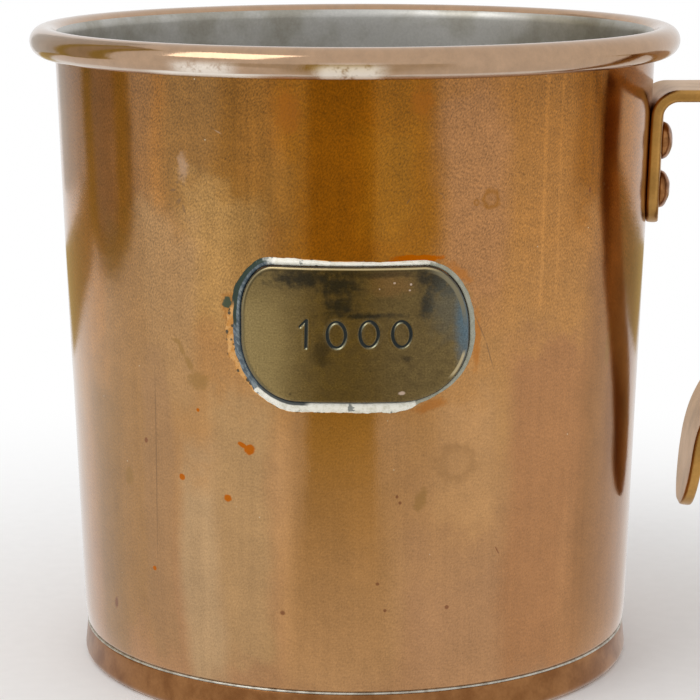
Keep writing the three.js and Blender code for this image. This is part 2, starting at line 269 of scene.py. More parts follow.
def along(lengths, distance):
    """The run of a path that a distance along it falls in, and the share of that run."""
    index = 1
    while index < len(lengths) - 1 and lengths[index] < distance:
        index += 1
    share = (distance - lengths[index - 1]) / max(lengths[index] - lengths[index - 1], 1e-9)
    return index, share


# Materials


class Value:
    """What a node gives out. Signs and short calls make the nodes that work with it."""

    def __init__(self, paint, socket):
        self.paint = paint
        self.socket = socket

    def __add__(self, other):
        return self.paint.math("ADD", self, other)

    def __sub__(self, number):
        return self + -number

    def __rsub__(self, number):
        return self.paint.math("SUBTRACT", number, self)

    def __mul__(self, other):
        return self.paint.math("MULTIPLY", self, other)

    __radd__ = __add__
    __rmul__ = __mul__

    def between(self, low, high, smooth=True):
        """0 at low and 1 at high. Low may be above high."""
        inputs = {"Value": self, "From Min": low, "From Max": high}
        return self.paint.node("MapRange", inputs, interpolation_type="SMOOTHSTEP" if smooth else "LINEAR")

    def band(self, low, high, soft):
        """1 between low and high, fading to 0 over a soft edge outside them."""
        half = (high - low) / 2
        off_middle = self.paint.math("ABSOLUTE", self - (high + low) / 2)
        return off_middle.between(half + soft, half)


class Paint:
    """Short calls for the nodes of one material. Its patterns lie on the piece's Object coordinates."""

    def __init__(self, name, metallic, roughness):
        self.material = bpy.data.materials.new(name)
        self.material.use_nodes = True
        self.nodes = self.material.node_tree.nodes
        self.links = self.material.node_tree.links
        self.shader = self.nodes["Principled BSDF"]
        self.set("Metallic", metallic)
        self.set("Roughness", roughness)
        self.facing = self.node("TexCoord", {}, "Normal")
        coordinates = Value(self, self.facing.socket.node.outputs["Object"])
        self.point = self.node("VectorMath", {0: coordinates, "Scale": 1 / MM}, operation="SCALE")
        self.colour = self.unrolled = self.waiting = self.ragged_edge = None

    def feed(self, socket, value):
        """Links an output to a socket, or sets the socket to a plain value."""
        if isinstance(value, Value):
            self.links.new(value.socket, socket)
        else:
            socket.default_value = (*value, 1) if socket.type == "RGBA" else value

    def node(self, kind, inputs, output=0, **settings):
        """A new node with these settings and inputs: gives one of its outputs."""
        node = self.nodes.new("ShaderNode" + kind)
        for name, value in settings.items():
            setattr(node, name, value)
        for socket, value in inputs.items():
            self.feed(node.inputs[socket], value)
        return Value(self, node.outputs[output])

    def math(self, operation, first, second=0.0):
        return self.node("Math", {0: first, 1: second}, operation=operation)

    def most(self, mask, *others):
        """The largest of several masks."""
        for other in others:
            mask = self.math("MAXIMUM", mask, other)
        return mask

    def parts(self, vector):
        """The three numbers of a vector."""
        return [Value(self, part) for part in self.node("SeparateXYZ", {0: vector}).socket.node.outputs]

    def wrap(self):
        """The wall unrolled, in millimetres: arc from the front line at the mean radius, and height."""
        if self.unrolled is None:
            x, y, z = self.parts(self.point)
            angle = self.math("ARCTAN2", x, y * -1.0)
            self.unrolled = self.node("CombineXYZ", {0: angle * (MEAN_RADIUS / MM), 1: z})
        return self.unrolled

    def stretched(self, vector, size, shift=(0, 0, 0), turn=0.0):
        """A vector turned, then divided by the size of a pattern along each axis, and shifted."""
        if turn:
            vector = self.node("Mapping", {"Vector": vector, "Rotation": (0, 0, math.radians(turn))})
        sizes = size if isinstance(size, tuple) else (size, size, size)
        scale = tuple(1 / length for length in sizes)
        return self.node("Mapping", {"Vector": vector, "Scale": scale, "Location": shift})

    def noise(self, size, detail=2.0, rough=0.5, vector=None, **moved):
        """Noise whose lumps are about that many millimetres along each axis."""
        place = self.stretched(vector or self.point, size, **moved)
        inputs = {"Vector": place, "Scale": 1.0, "Detail": detail, "Roughness": rough}
        return self.node("TexNoise", inputs, "Fac")

    def cells(self, size, vector=None):
        """Distance to the nearest of scattered points about that many millimetres apart."""
        place = self.stretched(vector or self.point, size)
        return self.node("TexVoronoi", {"Vector": place, "Scale": 1.0}, "Distance")

    def streaks(self, arc, start, stop, places):
        """Upright streaks on one ramp along the wall: 0 off them, else how much lighter each is."""
        level = self.node("ValToRGB", {0: arc.between(start, stop, smooth=False)})
        elements = level.socket.node.color_ramp.elements
        elements.remove(elements[1])
        stops = []
        for place, half, lighter in places:
            for offset, share in STREAK_EDGES:
                stops.append(((place + offset * half - start) / (stop - start), 0.5 + lighter * share))
        for index, (position, tone) in enumerate(sorted(stops)):
            element = elements[0] if index == 0 else elements.new(position)
            element.position = position
            element.color = (tone, tone, tone, 1)
        return level - 0.5

    def spot(self, angle, height, wide, tall, turn=0.0, soft=0.35, ragged=0.35):
        """A mask of one spot on the wall: its place in degrees and millimetres, half sizes in millimetres."""
        if self.ragged_edge is None:
            self.ragged_edge = self.noise(1.3, detail=3.0, vector=self.wrap()) - 0.5
        inputs = {
            "Vector": self.waiting or self.wrap(),
            "Location": (math.radians(angle) * MEAN_RADIUS / MM, height, 0),
            "Rotation": (0, 0, math.radians(turn)),
            "Scale": (wide, tall, 1),
        }
        offset = self.node("Mapping", inputs, vector_type="TEXTURE")
        away = self.node("VectorMath", {0: offset}, "Value", operation="LENGTH")
        edge = away + self.ragged_edge * (ragged * 2)
        return edge.between(1.0 + soft / 2, 1.0 - soft / 2)

    def ring(self, angle, height, wide, tall):
        """A mask of a ring-shaped stain: a ragged spot without most of its middle."""
        outer = self.spot(angle, height, wide, tall, soft=0.5, ragged=0.5)
        inner = self.spot(angle, height, wide * RING_MIDDLE, tall * RING_MIDDLE, soft=0.7, ragged=0.6)
        return outer * (1.0 - inner * 0.75)

    def after(self, mask):
        """Makes the next spots wait for a mask, so that the shader holds few values at a time."""
        inputs = {0: mask, 1: (1e-6, 1e-6, 0), 2: self.wrap()}
        self.waiting = self.node("VectorMath", inputs, operation="MULTIPLY_ADD")

    def spots(self, places, **edges):
        """One mask of many spots, each with its angle, height, half width, half height and any turn."""
        mask = 0.0
        for start in range(0, len(places), SPOTS_AT_ONCE):
            group = [self.spot(*place, **edges) for place in places[start:start + SPOTS_AT_ONCE]]
            mask = self.most(mask, *group)
            self.after(mask)
        return mask

    def mark(self, name):
        """A number kept on the piece's points."""
        return self.node("Attribute", {}, "Fac", attribute_name=name)

    def mix(self, share, first, second):
        """A colour mixed from two colours."""
        return self.node("Mix", {0: share, 6: first, 7: second}, 2, data_type="RGBA")

    def blend(self, share, first, second):
        """A number mixed from two numbers."""
        return self.node("Mix", {0: share, 2: first, 3: second})

    def shade(self, colour, factor):
        """A colour made lighter or darker by a number."""
        return self.node("VectorMath", {0: colour, "Scale": factor}, operation="SCALE")

    def lay(self, share, tone):
        """Lays a tone over the colour so far."""
        self.colour = self.mix(share, self.colour, tone)

    def stain(self, places, strength, tone, **edges):
        """Lays a tone on spots, and gives their mask."""
        mask = self.spots(places, **edges)
        self.lay(mask * strength, tone)
        return mask

    def bump(self, height, distance, *under):
        """Relief from a height of 0 to 1 that stands for that many millimetres, over other relief or none."""
        inputs = {"Strength": 1.0, "Distance": distance * MM, "Height": height}
        return self.node("Bump", inputs | dict(zip(["Normal"], under)))

    def set(self, name, value):
        self.feed(self.shader.inputs[name], value)

    def show(self, surface):
        """Makes a shader the material's surface in place of the plain one."""
        self.links.new(surface.socket, self.nodes["Material Output"].inputs["Surface"])


# Colours of the copper, of its stains and of the painted highlights on its rim, as they show under plain
# white light
WARM_COPPER = (0.50, 0.265, 0.075)
OLIVE_COPPER = (0.40, 0.215, 0.060)
LOW_COPPER = (0.455, 0.232, 0.10)
# Partly painted sheen: the rim's copper is paler and pinker than the wall's
RIM_COPPER_AND_SHEEN = (0.46, 0.305, 0.195)
# Painted highlight on the rim: a light line along its lower edge and light patches
RIM_HIGHLIGHT = (0.86, 0.78, 0.68)
PALE_COPPER = (0.55, 0.36, 0.24)
PALE_FLECK = (0.75, 0.62, 0.45)
SCRATCH_BROWN = (0.20, 0.11, 0.05)
ORANGE_TINT = (0.44, 0.14, 0.008)
ORANGE_STAIN = (0.52, 0.12, 0.0)
RED_STAIN = (0.20, 0.06, 0.02)
OLIVE_STAIN = (0.30, 0.158, 0.036)
WATER_STAIN = (0.32, 0.16, 0.055)
RING_STAIN = (0.33, 0.125, 0.010)
GREEN_STAIN = (0.03, 0.07, 0.045)

# Places of the wall's finish and of the painted highlights on its rim: heights and arcs in millimetres
RIM_START = (113.3, 113.7)
# The painted highlight line along the rim's lower edge, and the painted highlight patches on it
HIGHLIGHT_LINE_END = (114.60, 114.35)
HIGHLIGHT_LINE_STRONG = (-29.0, -18.0, 7.0)
HIGHLIGHT_LINE_FADE = (46.0, 30.0)
HIGHLIGHT_LEFT = (-25.5, -21.5, 5.0)
HIGHLIGHT_FRONT = (-3.0, 3.5, 3.0)
HIGHLIGHT_TOP = (116.6, 115.2)
FILM_FADE = (30.0, 52.0)
COARSE_RISE = (50.0, 88.0)

# Edges of a streak in half widths from its middle, and its share of the tone there
STREAK_EDGES = [(-1.5, 0.0), (-0.5, 1.0), (0.5, 1.0), (1.5, 0.0)]
STREAK_FADE = 5.0
SPOTS_AT_ONCE = 6
RING_MIDDLE = 0.62

# The wall's tone by height: from, to (mm), and the colour reached there
HEIGHT_TONES = [
    (22.0, 52.0, (0.470, 0.242, 0.085)),
    (52.0, 84.0, (0.445, 0.198, 0.048)),
    (84.0, 110.0, (0.375, 0.154, 0.028)),
]

# Soft zones of the wall: middle, half size and softness along it, the same up it (mm), colour and strength
ZONES = [
    ((1.0, 11.0, 6.0), (100.0, 22.0, 16.0), (0.415, 0.160, 0.006), 0.95),
    ((5.0, 3.0, 3.0), (97.0, 6.0, 5.0), (0.445, 0.190, 0.014), 0.7),
    ((-18.0, 3.0, 2.4), (100.0, 12.0, 8.0), (0.430, 0.190, 0.030), 0.7),
    ((-23.6, 2.8, 3.2), (103.0, 12.0, 8.0), (0.290, 0.122, 0.015), 0.9),
    ((-28.8, 3.2, 4.0), (104.0, 11.0, 9.0), (0.300, 0.142, 0.034), 0.9),
    ((-16.5, 4.5, 4.0), (91.0, 4.0, 7.0), (0.370, 0.172, 0.030), 0.7),
    ((-45.5, 6.0, 4.0), (100.0, 20.0, 9.0), (0.360, 0.165, 0.050), 0.8),
    # Painted reflection: a light strip and a dark strip along the edge of the mirrored dark board on the left
    ((-43.6, 1.2, 2.0), (92.0, 22.0, 9.0), (0.450, 0.215, 0.072), 0.7),
    ((-39.3, 1.5, 2.0), (92.0, 20.0, 9.0), (0.305, 0.140, 0.040), 0.6),
    ((-23.0, 5.0, 5.0), (82.0, 8.0, 9.0), (0.480, 0.262, 0.080), 0.85),
    ((-34.0, 4.5, 4.0), (72.0, 13.0, 9.0), (0.430, 0.238, 0.094), 0.9),
    ((-44.5, 4.5, 3.5), (50.0, 32.0, 10.0), (0.385, 0.202, 0.072), 0.9),
    ((-54.0, 2.0, 6.0), (32.0, 20.0, 14.0), (0.310, 0.168, 0.060), 0.75),
    ((-37.0, 2.5, 2.5), (36.0, 22.0, 8.0), (0.400, 0.215, 0.090), 0.85),
    ((-20.5, 3.0, 4.0), (34.0, 20.0, 8.0), (0.480, 0.282, 0.118), 0.8),
    ((-28.3, 1.8, 3.2), (24.0, 14.0, 14.0), (0.510, 0.325, 0.160), 0.8),
    ((-3.0, 9.0, 5.0), (30.0, 20.0, 12.0), (0.530, 0.285, 0.118), 0.8),
    ((19.2, 3.5, 3.0), (48.0, 8.0, 6.0), (0.515, 0.272, 0.105), 0.8),
    ((19.5, 3.5, 5.0), (92.0, 14.0, 12.0), (0.410, 0.190, 0.070), 0.8),
    ((38.0, 8.0, 5.0), (35.0, 26.0, 10.0), (0.415, 0.188, 0.070), 0.9),
    ((44.8, 2.5, 3.0), (23.0, 10.0, 8.0), (0.470, 0.222, 0.084), 0.7),
    ((76.0, 10.0, 22.0), (106.0, 14.0, 24.0), (0.350, 0.135, 0.020), 0.7),
    # Painted shade: dark patches on the upper right that stand in for the reflection of a dark board
    ((49.0, 6.0, 6.0), (108.0, 14.0, 10.0), (0.275, 0.092, 0.001), 0.9),
    ((57.5, 4.5, 6.0), (102.0, 16.0, 20.0), (0.375, 0.140, 0.010), 0.85),
    ((78.0, 10.0, 24.0), (46.0, 26.0, 24.0), (0.380, 0.180, 0.062), 0.75),
    ((56.5, 7.5, 7.0), (48.0, 28.0, 18.0), (0.325, 0.148, 0.050), 0.85),
    ((60.5, 3.0, 5.5), (58.0, 10.0, 16.0), (0.240, 0.100, 0.030), 0.7),
]

# Upright streaks in groups: the stretch along the wall that a group is on, its low and high end (mm), and
# each streak's place, half width and how much lighter it is
STREAKS = [
    (-43.0, -7.0, 10.0, 56.0, [
        (-38.7, 1.3, -0.04), (-27.2, 1.2, 0.06), (-19.6, 2.6, -0.04), (-12.4, 1.4, 0.12),
    ]),
    (-22.0, 15.0, 94.0, 108.0, [
        (-17.8, 0.25, -0.10), (-16.7, 0.22, 0.08), (-15.2, 0.25, -0.08), (-12.3, 1.2, 0.20),
        (2.9, 1.2, 0.13), (7.7, 1.4, -0.07), (11.7, 1.2, -0.04),
    ]),
    (31.0, 40.0, 76.0, 113.0, [(33.8, 0.35, 0.18), (37.3, 0.30, 0.13)]),
    (41.0, 52.0, 97.0, 114.0, [
        (44.1, 0.28, 0.10), (45.7, 0.22, -0.16), (47.1, 0.22, 0.14), (49.0, 0.28, -0.12),
    ]),
    (-12.0, 4.0, 88.0, 102.0, [(-8.4, 1.7, -0.05), (0.0, 1.5, 0.10)]),
    (-4.0, 8.0, 30.0, 52.0, [(1.5, 2.4, 0.09)]),
]

# Marks on the wall: degrees from the front line, height, half width, half height and, where one is, turn
ORANGE_SPOTS = [
    (-19.9, 49.4, 1.05, 0.85, 20), (-21.2, 50.1, 0.95, 0.4, -25), (-34.8, 43.0, 0.6, 0.6),
    (-24.6, 40.4, 0.75, 0.65), (-42.8, 25.1, 0.45, 0.4), (-30.5, 55.5, 0.35, 0.35),
    (11.2, 83.1, 4.2, 0.6), (7.0, 82.6, 1.2, 0.4),
]
RED_SPOTS = [
    (-13.9, 20.5, 0.5, 0.4), (-56.5, 15.8, 0.6, 1.1, -12), (-43.8, 48.4, 0.4, 0.5),
    (28.1, 30.6, 0.1, 0.8, 30), (8.4, 40.6, 0.3, 0.3), (7.8, 41.7, 0.25, 0.25), (17.8, 21.3, 0.4, 0.35),
    (4.2, 26.2, 0.35, 0.3), (5.7, 21.3, 0.3, 0.3), (48.3, 92.4, 0.25, 0.5),
]
OLIVE_SPOTS = [
    (12.2, 41.0, 0.95, 1.9, -12), (-49.5, 41.0, 1.2, 1.6), (-34.8, 67.3, 0.9, 0.45, -30),
    (-33.6, 65.8, 0.5, 1.1, 35), (-32.2, 63.8, 0.6, 1.5, 30), (-30.2, 60.8, 2.0, 1.5),
    (-23.1, 74.9, 1.1, 1.2), (57.5, 64.0, 0.9, 3.8, -8), (18.9, 77.5, 2.2, 1.1, -30),
]
ORANGE_PATCHES = [
    (-11.6, 108.0, 2.0, 3.6), (11.8, 109.4, 1.8, 2.8), (-22.8, 73.8, 1.6, 2.6, 10),
    (13.8, 57.6, 2.6, 1.0, 15), (22.6, 68.5, 0.7, 4.5), (19.0, 80.5, 2.6, 0.8, -40),
]
WATER_RING = (19.1, 47.1, 3.9, 3.4)
ORANGE_RINGS = [
    (24.8, 92.6, 1.7, 1.7), (22.0, 92.2, 0.5, 0.5),
]
GREEN_BLOB = (-23.7, 74.9, 0.85, 0.9)
DARK_SCRATCHES = [
    (-41.2, 45.0, 0.12, 18.0, -2.2), (23.3, 70.6, 0.12, 2.6, 25), (25.3, 65.9, 0.12, 2.6, 18),
    (15.2, 94.0, 0.45, 0.1, -30), (15.8, 93.4, 0.12, 0.4, 20), (9.4, 92.8, 0.12, 0.55, -35),
    (-32.4, 96.2, 0.35, 0.2, 30), (-33.4, 95.0, 0.25, 0.25), (-32.0, 94.6, 0.3, 0.18, -30),
    (59.0, 111.0, 0.22, 0.8), (61.5, 110.6, 0.22, 0.7, 15), (-33.2, 91.8, 0.55, 0.35, 50),
    (-32.2, 90.6, 0.25, 0.8, 20), (-34.4, 93.6, 0.6, 0.22, 10),
]
LIGHT_MARKS = [
    (-24.8, 104.1, 0.6, 0.1, -25), (-32.1, 97.8, 0.95, 2.1), (53.0, 93.0, 0.35, 0.22, -30),
    (54.4, 92.1, 0.25, 0.2),
]


def wall_copper():
    """Old copper of the wall: paler low down, orange in the upper front, with zones, streaks, stains and a
    thin clear film that shows along its sides. Some zones and the darkening towards the top are painted
    shade and painted reflection, and the rim carries painted highlights."""
    paint = Paint("aged_copper", 1.0, 0.12)
    wrap = paint.wrap()
    arc, height, _ = paint.parts(wrap)
    clouds = paint.noise(26.0, detail=4.0, rough=0.55)
    drifts = paint.noise(9.0, detail=3.0, rough=0.6, shift=(3, 1, 2))
    streaks = paint.noise((1.1, 46.0, 1.0), detail=3.0, rough=0.6, vector=wrap, shift=(5, 0, 0))
    grain = paint.noise((0.27, 0.46, 1.0), rough=0.6, vector=wrap, turn=24)
    mottle = paint.noise(2.6, detail=3.0, rough=0.7, vector=wrap, shift=(2, 9, 0))
    brushed = paint.noise((1.6, 0.22, 1.0), rough=0.6, vector=wrap, shift=(0, 3, 0))
    wavy_arc = arc + (clouds - 0.5) * 9.0
    wavy_height = height + (drifts - 0.5) * 22.0
    paint.colour = LOW_COPPER
    for low, high, tone in HEIGHT_TONES:
        paint.lay(wavy_height.between(low, high, smooth=False), tone)
    for (place, half, soft), (middle, tall, fade), tone, strength in ZONES:
        across = wavy_arc.band(place - half, place + half, soft)
        paint.lay(across * wavy_height.band(middle - tall, middle + tall, fade) * strength, tone)
    rubbed = paint.math("ABSOLUTE", arc - 1.0).between(6.0, 20.0)
    coarse = wavy_height.between(*COARSE_RISE) * paint.blend(rubbed, 0.75, 1.0)
    tone = 1.0 + (streaks - 0.5) * 0.20
    tone = tone + (drifts - 0.5) * 0.34
    tone = tone + (mottle - 0.5) * paint.blend(coarse, 0.22, 0.52)
    tone = tone + (grain - 0.5) * paint.blend(coarse, 0.75, 1.8)
    tone = tone + (brushed - 0.5) * paint.blend(coarse, 0.30, 0.06)
    # Painted shade: the wall is darkened towards its top
    tone = tone + height.between(102.0, 112.5) * -0.12
    thin_arc = arc + (drifts - 0.5) * 1.2
    for start, stop, low, high, places in STREAKS:
        tone = tone + paint.streaks(thin_arc, start, stop, places) * height.band(low, high, STREAK_FADE)
    paint.colour = paint.shade(paint.colour, tone)
    paint.stain(ORANGE_PATCHES, 0.6, ORANGE_TINT, soft=1.0, ragged=0.8)
    paint.stain(OLIVE_SPOTS, 0.55, OLIVE_STAIN, soft=0.7, ragged=0.8)
    water_ring = paint.ring(*WATER_RING)
    paint.after(water_ring)
    paint.lay(water_ring * 0.5, WATER_STAIN)
    rings = paint.most(*[paint.ring(*place) for place in ORANGE_RINGS])
    paint.after(rings)
    paint.lay(rings * 0.8, RING_STAIN)
    paint.stain(LIGHT_MARKS, 0.5, PALE_COPPER, soft=1.2, ragged=1.0)
    red = paint.stain(RED_SPOTS, 0.75, RED_STAIN, soft=0.6, ragged=0.5)
    orange = paint.stain(ORANGE_SPOTS, 0.92, ORANGE_STAIN, soft=0.4, ragged=0.5)
    paint.stain(DARK_SCRATCHES, 0.6, SCRATCH_BROWN, soft=0.9, ragged=0.25)
    paint.lay(paint.spot(*GREEN_BLOB, ragged=0.8) * 0.9, GREEN_STAIN)
    paint.lay(paint.cells(5.0, vector=wrap).between(0.03, 0.018) * 0.7, PALE_FLECK)
    # The rim: pinkish copper, made paler than the wall in part as a painted sheen, with a painted highlight
    # line along its lower edge and painted highlight patches
    rim = height.between(*RIM_START)
    paint.lay(rim * 0.92, paint.shade(RIM_COPPER_AND_SHEEN, mottle * 0.4 + 0.8))
    highlight_line = (height + drifts * 0.4).between(*HIGHLIGHT_LINE_END)
    highlight_line = highlight_line * paint.blend(arc.band(*HIGHLIGHT_LINE_STRONG), 0.26, 1.0) * arc.between(*HIGHLIGHT_LINE_FADE)
    highlight_patches = paint.most(wavy_arc.band(*HIGHLIGHT_LEFT), wavy_arc.band(*HIGHLIGHT_FRONT))
    highlight_patches = highlight_patches * mottle.between(0.22, 0.52) * height.between(*HIGHLIGHT_TOP)
    bright = rim * paint.most(highlight_line, highlight_patches * 0.85)
    paint.lay(bright, RIM_HIGHLIGHT)
    paint.set("Metallic", paint.blend(bright, 1.0, 0.15))
    paint.set("Base Color", paint.colour)
    paint.set("Roughness", drifts * 0.06 + 0.085 + paint.most(orange, red, rings) * 0.2)
    paint.set("Coat Weight", paint.blend(arc.between(*FILM_FADE), 0.4, 0.08) * (1.0 - orange))
    paint.set("Coat Roughness", 0.12)
    paint.set("Normal", paint.bump(paint.noise(6.0), 0.035, paint.bump(grain, 0.008)))
    return paint.material


def plain_metal(name, colour, other, metallic, roughness, patch):
    """A simpler worn metal: two tones in clouds of that size, fine grain and uneven gloss."""
    paint = Paint(name, metallic, roughness)
    clouds = paint.noise(patch, detail=4.0, rough=0.6)
    grain = paint.noise(0.5, shift=(4, 2, 7))
    tone = paint.mix(clouds.between(0.38, 0.66), colour, other)
    paint.set("Base Color", paint.shade(tone, grain * 0.3 + 0.85))
    paint.set("Roughness", clouds * 0.16 + (roughness - 0.08))
    paint.set("Normal", paint.bump(grain, 0.01))
    return paint.material


# Marks on the plaque, in the same way
# Painted dark reflections along the plaque's top
PLAQUE_DARK_REFLECTIONS = [
    (-2.9, 79.0, 3.4, 2.1), (-9.0, 79.9, 5.0, 1.5), (-2.7, 75.2, 2.4, 1.6, 20),
    (14.2, 79.2, 3.4, 1.8, -25), (12.8, 75.4, 1.0, 2.2, -5), (2.0, 73.6, 5.4, 0.45),
]
PLAQUE_SMUDGES = [
    (9.2, 66.1, 0.8, 0.55), (-11.6, 59.9, 0.2, 0.2), (-5.8, 67.2, 1.3, 2.4), (4.0, 80.6, 5.5, 0.5),
]
PLAQUE_PINK = (6.6, 79.0, 3.6, 1.9)
PLAQUE_FLECKS = [
    (8.4, 60.2, 0.58, 0.33), (4.3, 78.2, 0.12, 0.14), (6.9, 79.2, 0.2, 0.16), (9.8, 78.9, 0.18, 0.18),
    (9.6, 77.9, 0.16, 0.14),
]
PLAQUE_SHEEN = (20.0, 71.8, 1.7, 6.2)
PLAQUE_GREY_SIDE = (17.0, 75.0, 3.2, 5.0)

# Colours of the plaque
BRASS = (0.190, 0.134, 0.054)
BRASS_DARK = (0.140, 0.098, 0.042)
GOLD_LEFT_REFLECTION = (0.350, 0.258, 0.110)
BRASS_PINK = (0.27, 0.15, 0.055)
BRASS_GREY = (0.125, 0.125, 0.100)
DARK_REFLECTION = (0.030, 0.030, 0.027)
BROWN_SMUDGE = (0.045, 0.036, 0.024)
BLUE_SHEEN = (0.10, 0.16, 0.20)
PINK_FLECK = (0.74, 0.58, 0.50)
EDGE_HIGHLIGHT = (0.60, 0.48, 0.26)
EDGE_SHADE = (0.06, 0.05, 0.03)
EDGE_BEVEL_SHEEN = (0.22, 0.19, 0.12)
EDGE_GLINT = (0.62, 0.50, 0.29)
EDGE_SHADOW = (0.085, 0.080, 0.050)
EDGE_GAP = (0.035, 0.033, 0.028)
FIGURE_GRIME = (0.005, 0.012, 0.013)
FIGURE_HIGHLIGHT = (0.29, 0.30, 0.21)


def tarnished_brass():
    """Old brass of the plaque: grainy gold on the left and dark clouds at the top, both painted reflections,
    a blue sheen on the right, and grime in the stamped figures, whose upper and left sides stay dark while
    their lower and right sides carry a painted highlight."""
    paint = Paint("tarnished_brass", 1.0, 0.3)
    wrap = paint.wrap()
    arc, height, _ = paint.parts(wrap)
    rise = height - PLAQUE_MIDDLE / MM
    clouds = paint.noise(7.0, detail=4.0, rough=0.6, vector=wrap, shift=(2, 5, 0))
    mottle = paint.noise(1.6, detail=4.0, rough=0.7, vector=wrap)
    brushed = paint.noise((9.0, 0.22, 1.0), detail=3.0, rough=0.6, vector=wrap)
    grain = paint.noise(0.3, vector=wrap)
    paint.colour = paint.mix(mottle.between(0.35, 0.7), BRASS, BRASS_DARK)
    # Painted reflection: light gold on the left side, weaker towards the top
    left = (arc + (clouds - 0.5) * 8.0).between(-5.0, -15.0)
    paint.lay(left * paint.blend(rise.between(3.0, 9.0), 1.0, 0.45) * 0.85, GOLD_LEFT_REFLECTION)
    paint.lay(paint.spot(*PLAQUE_PINK, soft=1.2, ragged=0.8) * 0.6, BRASS_PINK)
    # Painted reflection: dark clouds along the top
    paint.stain(PLAQUE_DARK_REFLECTIONS, 0.86, DARK_REFLECTION, soft=1.5, ragged=1.3)
    paint.stain(PLAQUE_SMUDGES, 0.6, BROWN_SMUDGE, soft=1.2, ragged=0.8)
    grey_side = paint.spot(*PLAQUE_GREY_SIDE, soft=1.4, ragged=0.5)
    paint.lay(grey_side * 0.6, BRASS_GREY)
    paint.after(grey_side)
    paint.lay(paint.spot(*PLAQUE_SHEEN, soft=1.4, ragged=0.4) * 0.85, BLUE_SHEEN)
    paint.colour = paint.shade(paint.colour, brushed * 0.32 + 0.84)
    paint.colour = paint.shade(paint.colour, grain * 1.1 + 0.45)
    paint.stain(PLAQUE_FLECKS, 0.8, PINK_FLECK, soft=0.6, ragged=0.6)
    # The rolled edge: a painted highlight line and a painted shade line along the top, a painted sheen on the
    # bevel and a painted glint on the right
    edge = paint.mark("edge")
    lined = paint.most(rise.between(2.0, 5.5) * arc.between(16.0, 12.0), arc.between(-14.0, -17.0) * 0.3)
    on_right = arc.between(11.0, 15.0)
    paint.lay(lined * edge.band(0.20, 0.38, 0.10) * 0.8, EDGE_HIGHLIGHT)
    paint.lay(lined * edge.band(0.56, 0.72, 0.14) * 0.5, EDGE_SHADE)
    paint.lay(edge.band(0.35, 0.90, 0.20) * on_right * rise.between(0.0, 6.0), EDGE_BEVEL_SHEEN)
    glint = edge.band(0.40, 0.70, 0.20) * (rise + 5.4).band(-1.4, 1.4, 1.2)
    paint.lay(glint * on_right * 0.7, EDGE_GLINT)
    # The figures: grime in them, but for their lower and right sides, which get a painted highlight
    groove = paint.mark("groove")
    across, _, up = paint.parts(paint.facing)
    lit = (up * 0.85 + across * -0.45).between(0.26, 0.55) * groove.between(0.08, 0.28)
    grime = groove.between(0.10, 0.55) * (1.0 - lit)
    paint.lay(grime * 0.97, FIGURE_GRIME)
    paint.lay(lit * (mottle.between(0.30, 0.62) * 0.65 + 0.25), FIGURE_HIGHLIGHT)
    paint.lay(edge.between(0.80, 0.35) * arc.between(-12.5, -15.5) * 0.6, EDGE_SHADOW)
    gap = edge.between(0.16, 0.06)
    paint.lay(gap * 0.85, EDGE_GAP)
    paint.set("Base Color", paint.colour)
    paint.set("Metallic", paint.blend(paint.most(grime, gap), 1.0, 0.2))
    paint.set("Roughness", paint.blend(grime, mottle * 0.18 + 0.20, 0.75))
    paint.set("Normal", paint.bump(grain, 0.006, paint.bump(brushed, 0.012)))
    return paint.material


# Directions from the plaque's middle, in degrees, and how softly they end: where the solder is chalky white,
# where its outside has a green crust, where its inside is dark at the lower left, and where no tan shows
WHITE_TOP = (46.0, 138.0, 4.0)
WHITE_BOTTOM = (-149.0, -50.0, 2.0)
CRUSTED = (142.0, 175.0, 5.0)
DARK_LOW_LEFT = (-153.0, -126.0, 5.0)
WITHOUT_TAN = (128.0, 165.0, 5.0)

# Colours of the solder round the plaque
BLUE_DARK = (0.060, 0.085, 0.105)
BLUE_LIGHT = (0.24, 0.28, 0.29)
BLUE_EDGE = (0.015, 0.040, 0.065)
CRUST_DARK = (0.014, 0.032, 0.020)
CRUST_LIGHT = (0.30, 0.34, 0.27)
GREY_DARK = (0.285, 0.285, 0.215)
GREY_LIGHT = (0.38, 0.375, 0.295)
GREY_EDGE = (0.06, 0.055, 0.035)
CHALK_DARK = (0.66, 0.64, 0.53)
CHALK_LIGHT = (0.86, 0.84, 0.75)
CHALK_EDGE = (0.07, 0.09, 0.09)
CHALK_LINE = (0.030, 0.040, 0.042)
CHALK_HOLE = (0.10, 0.12, 0.12)
TAN_DARK = (0.50, 0.21, 0.030)
TAN_LIGHT = (0.66, 0.36, 0.12)
TAN_PIT = (0.030, 0.035, 0.022)


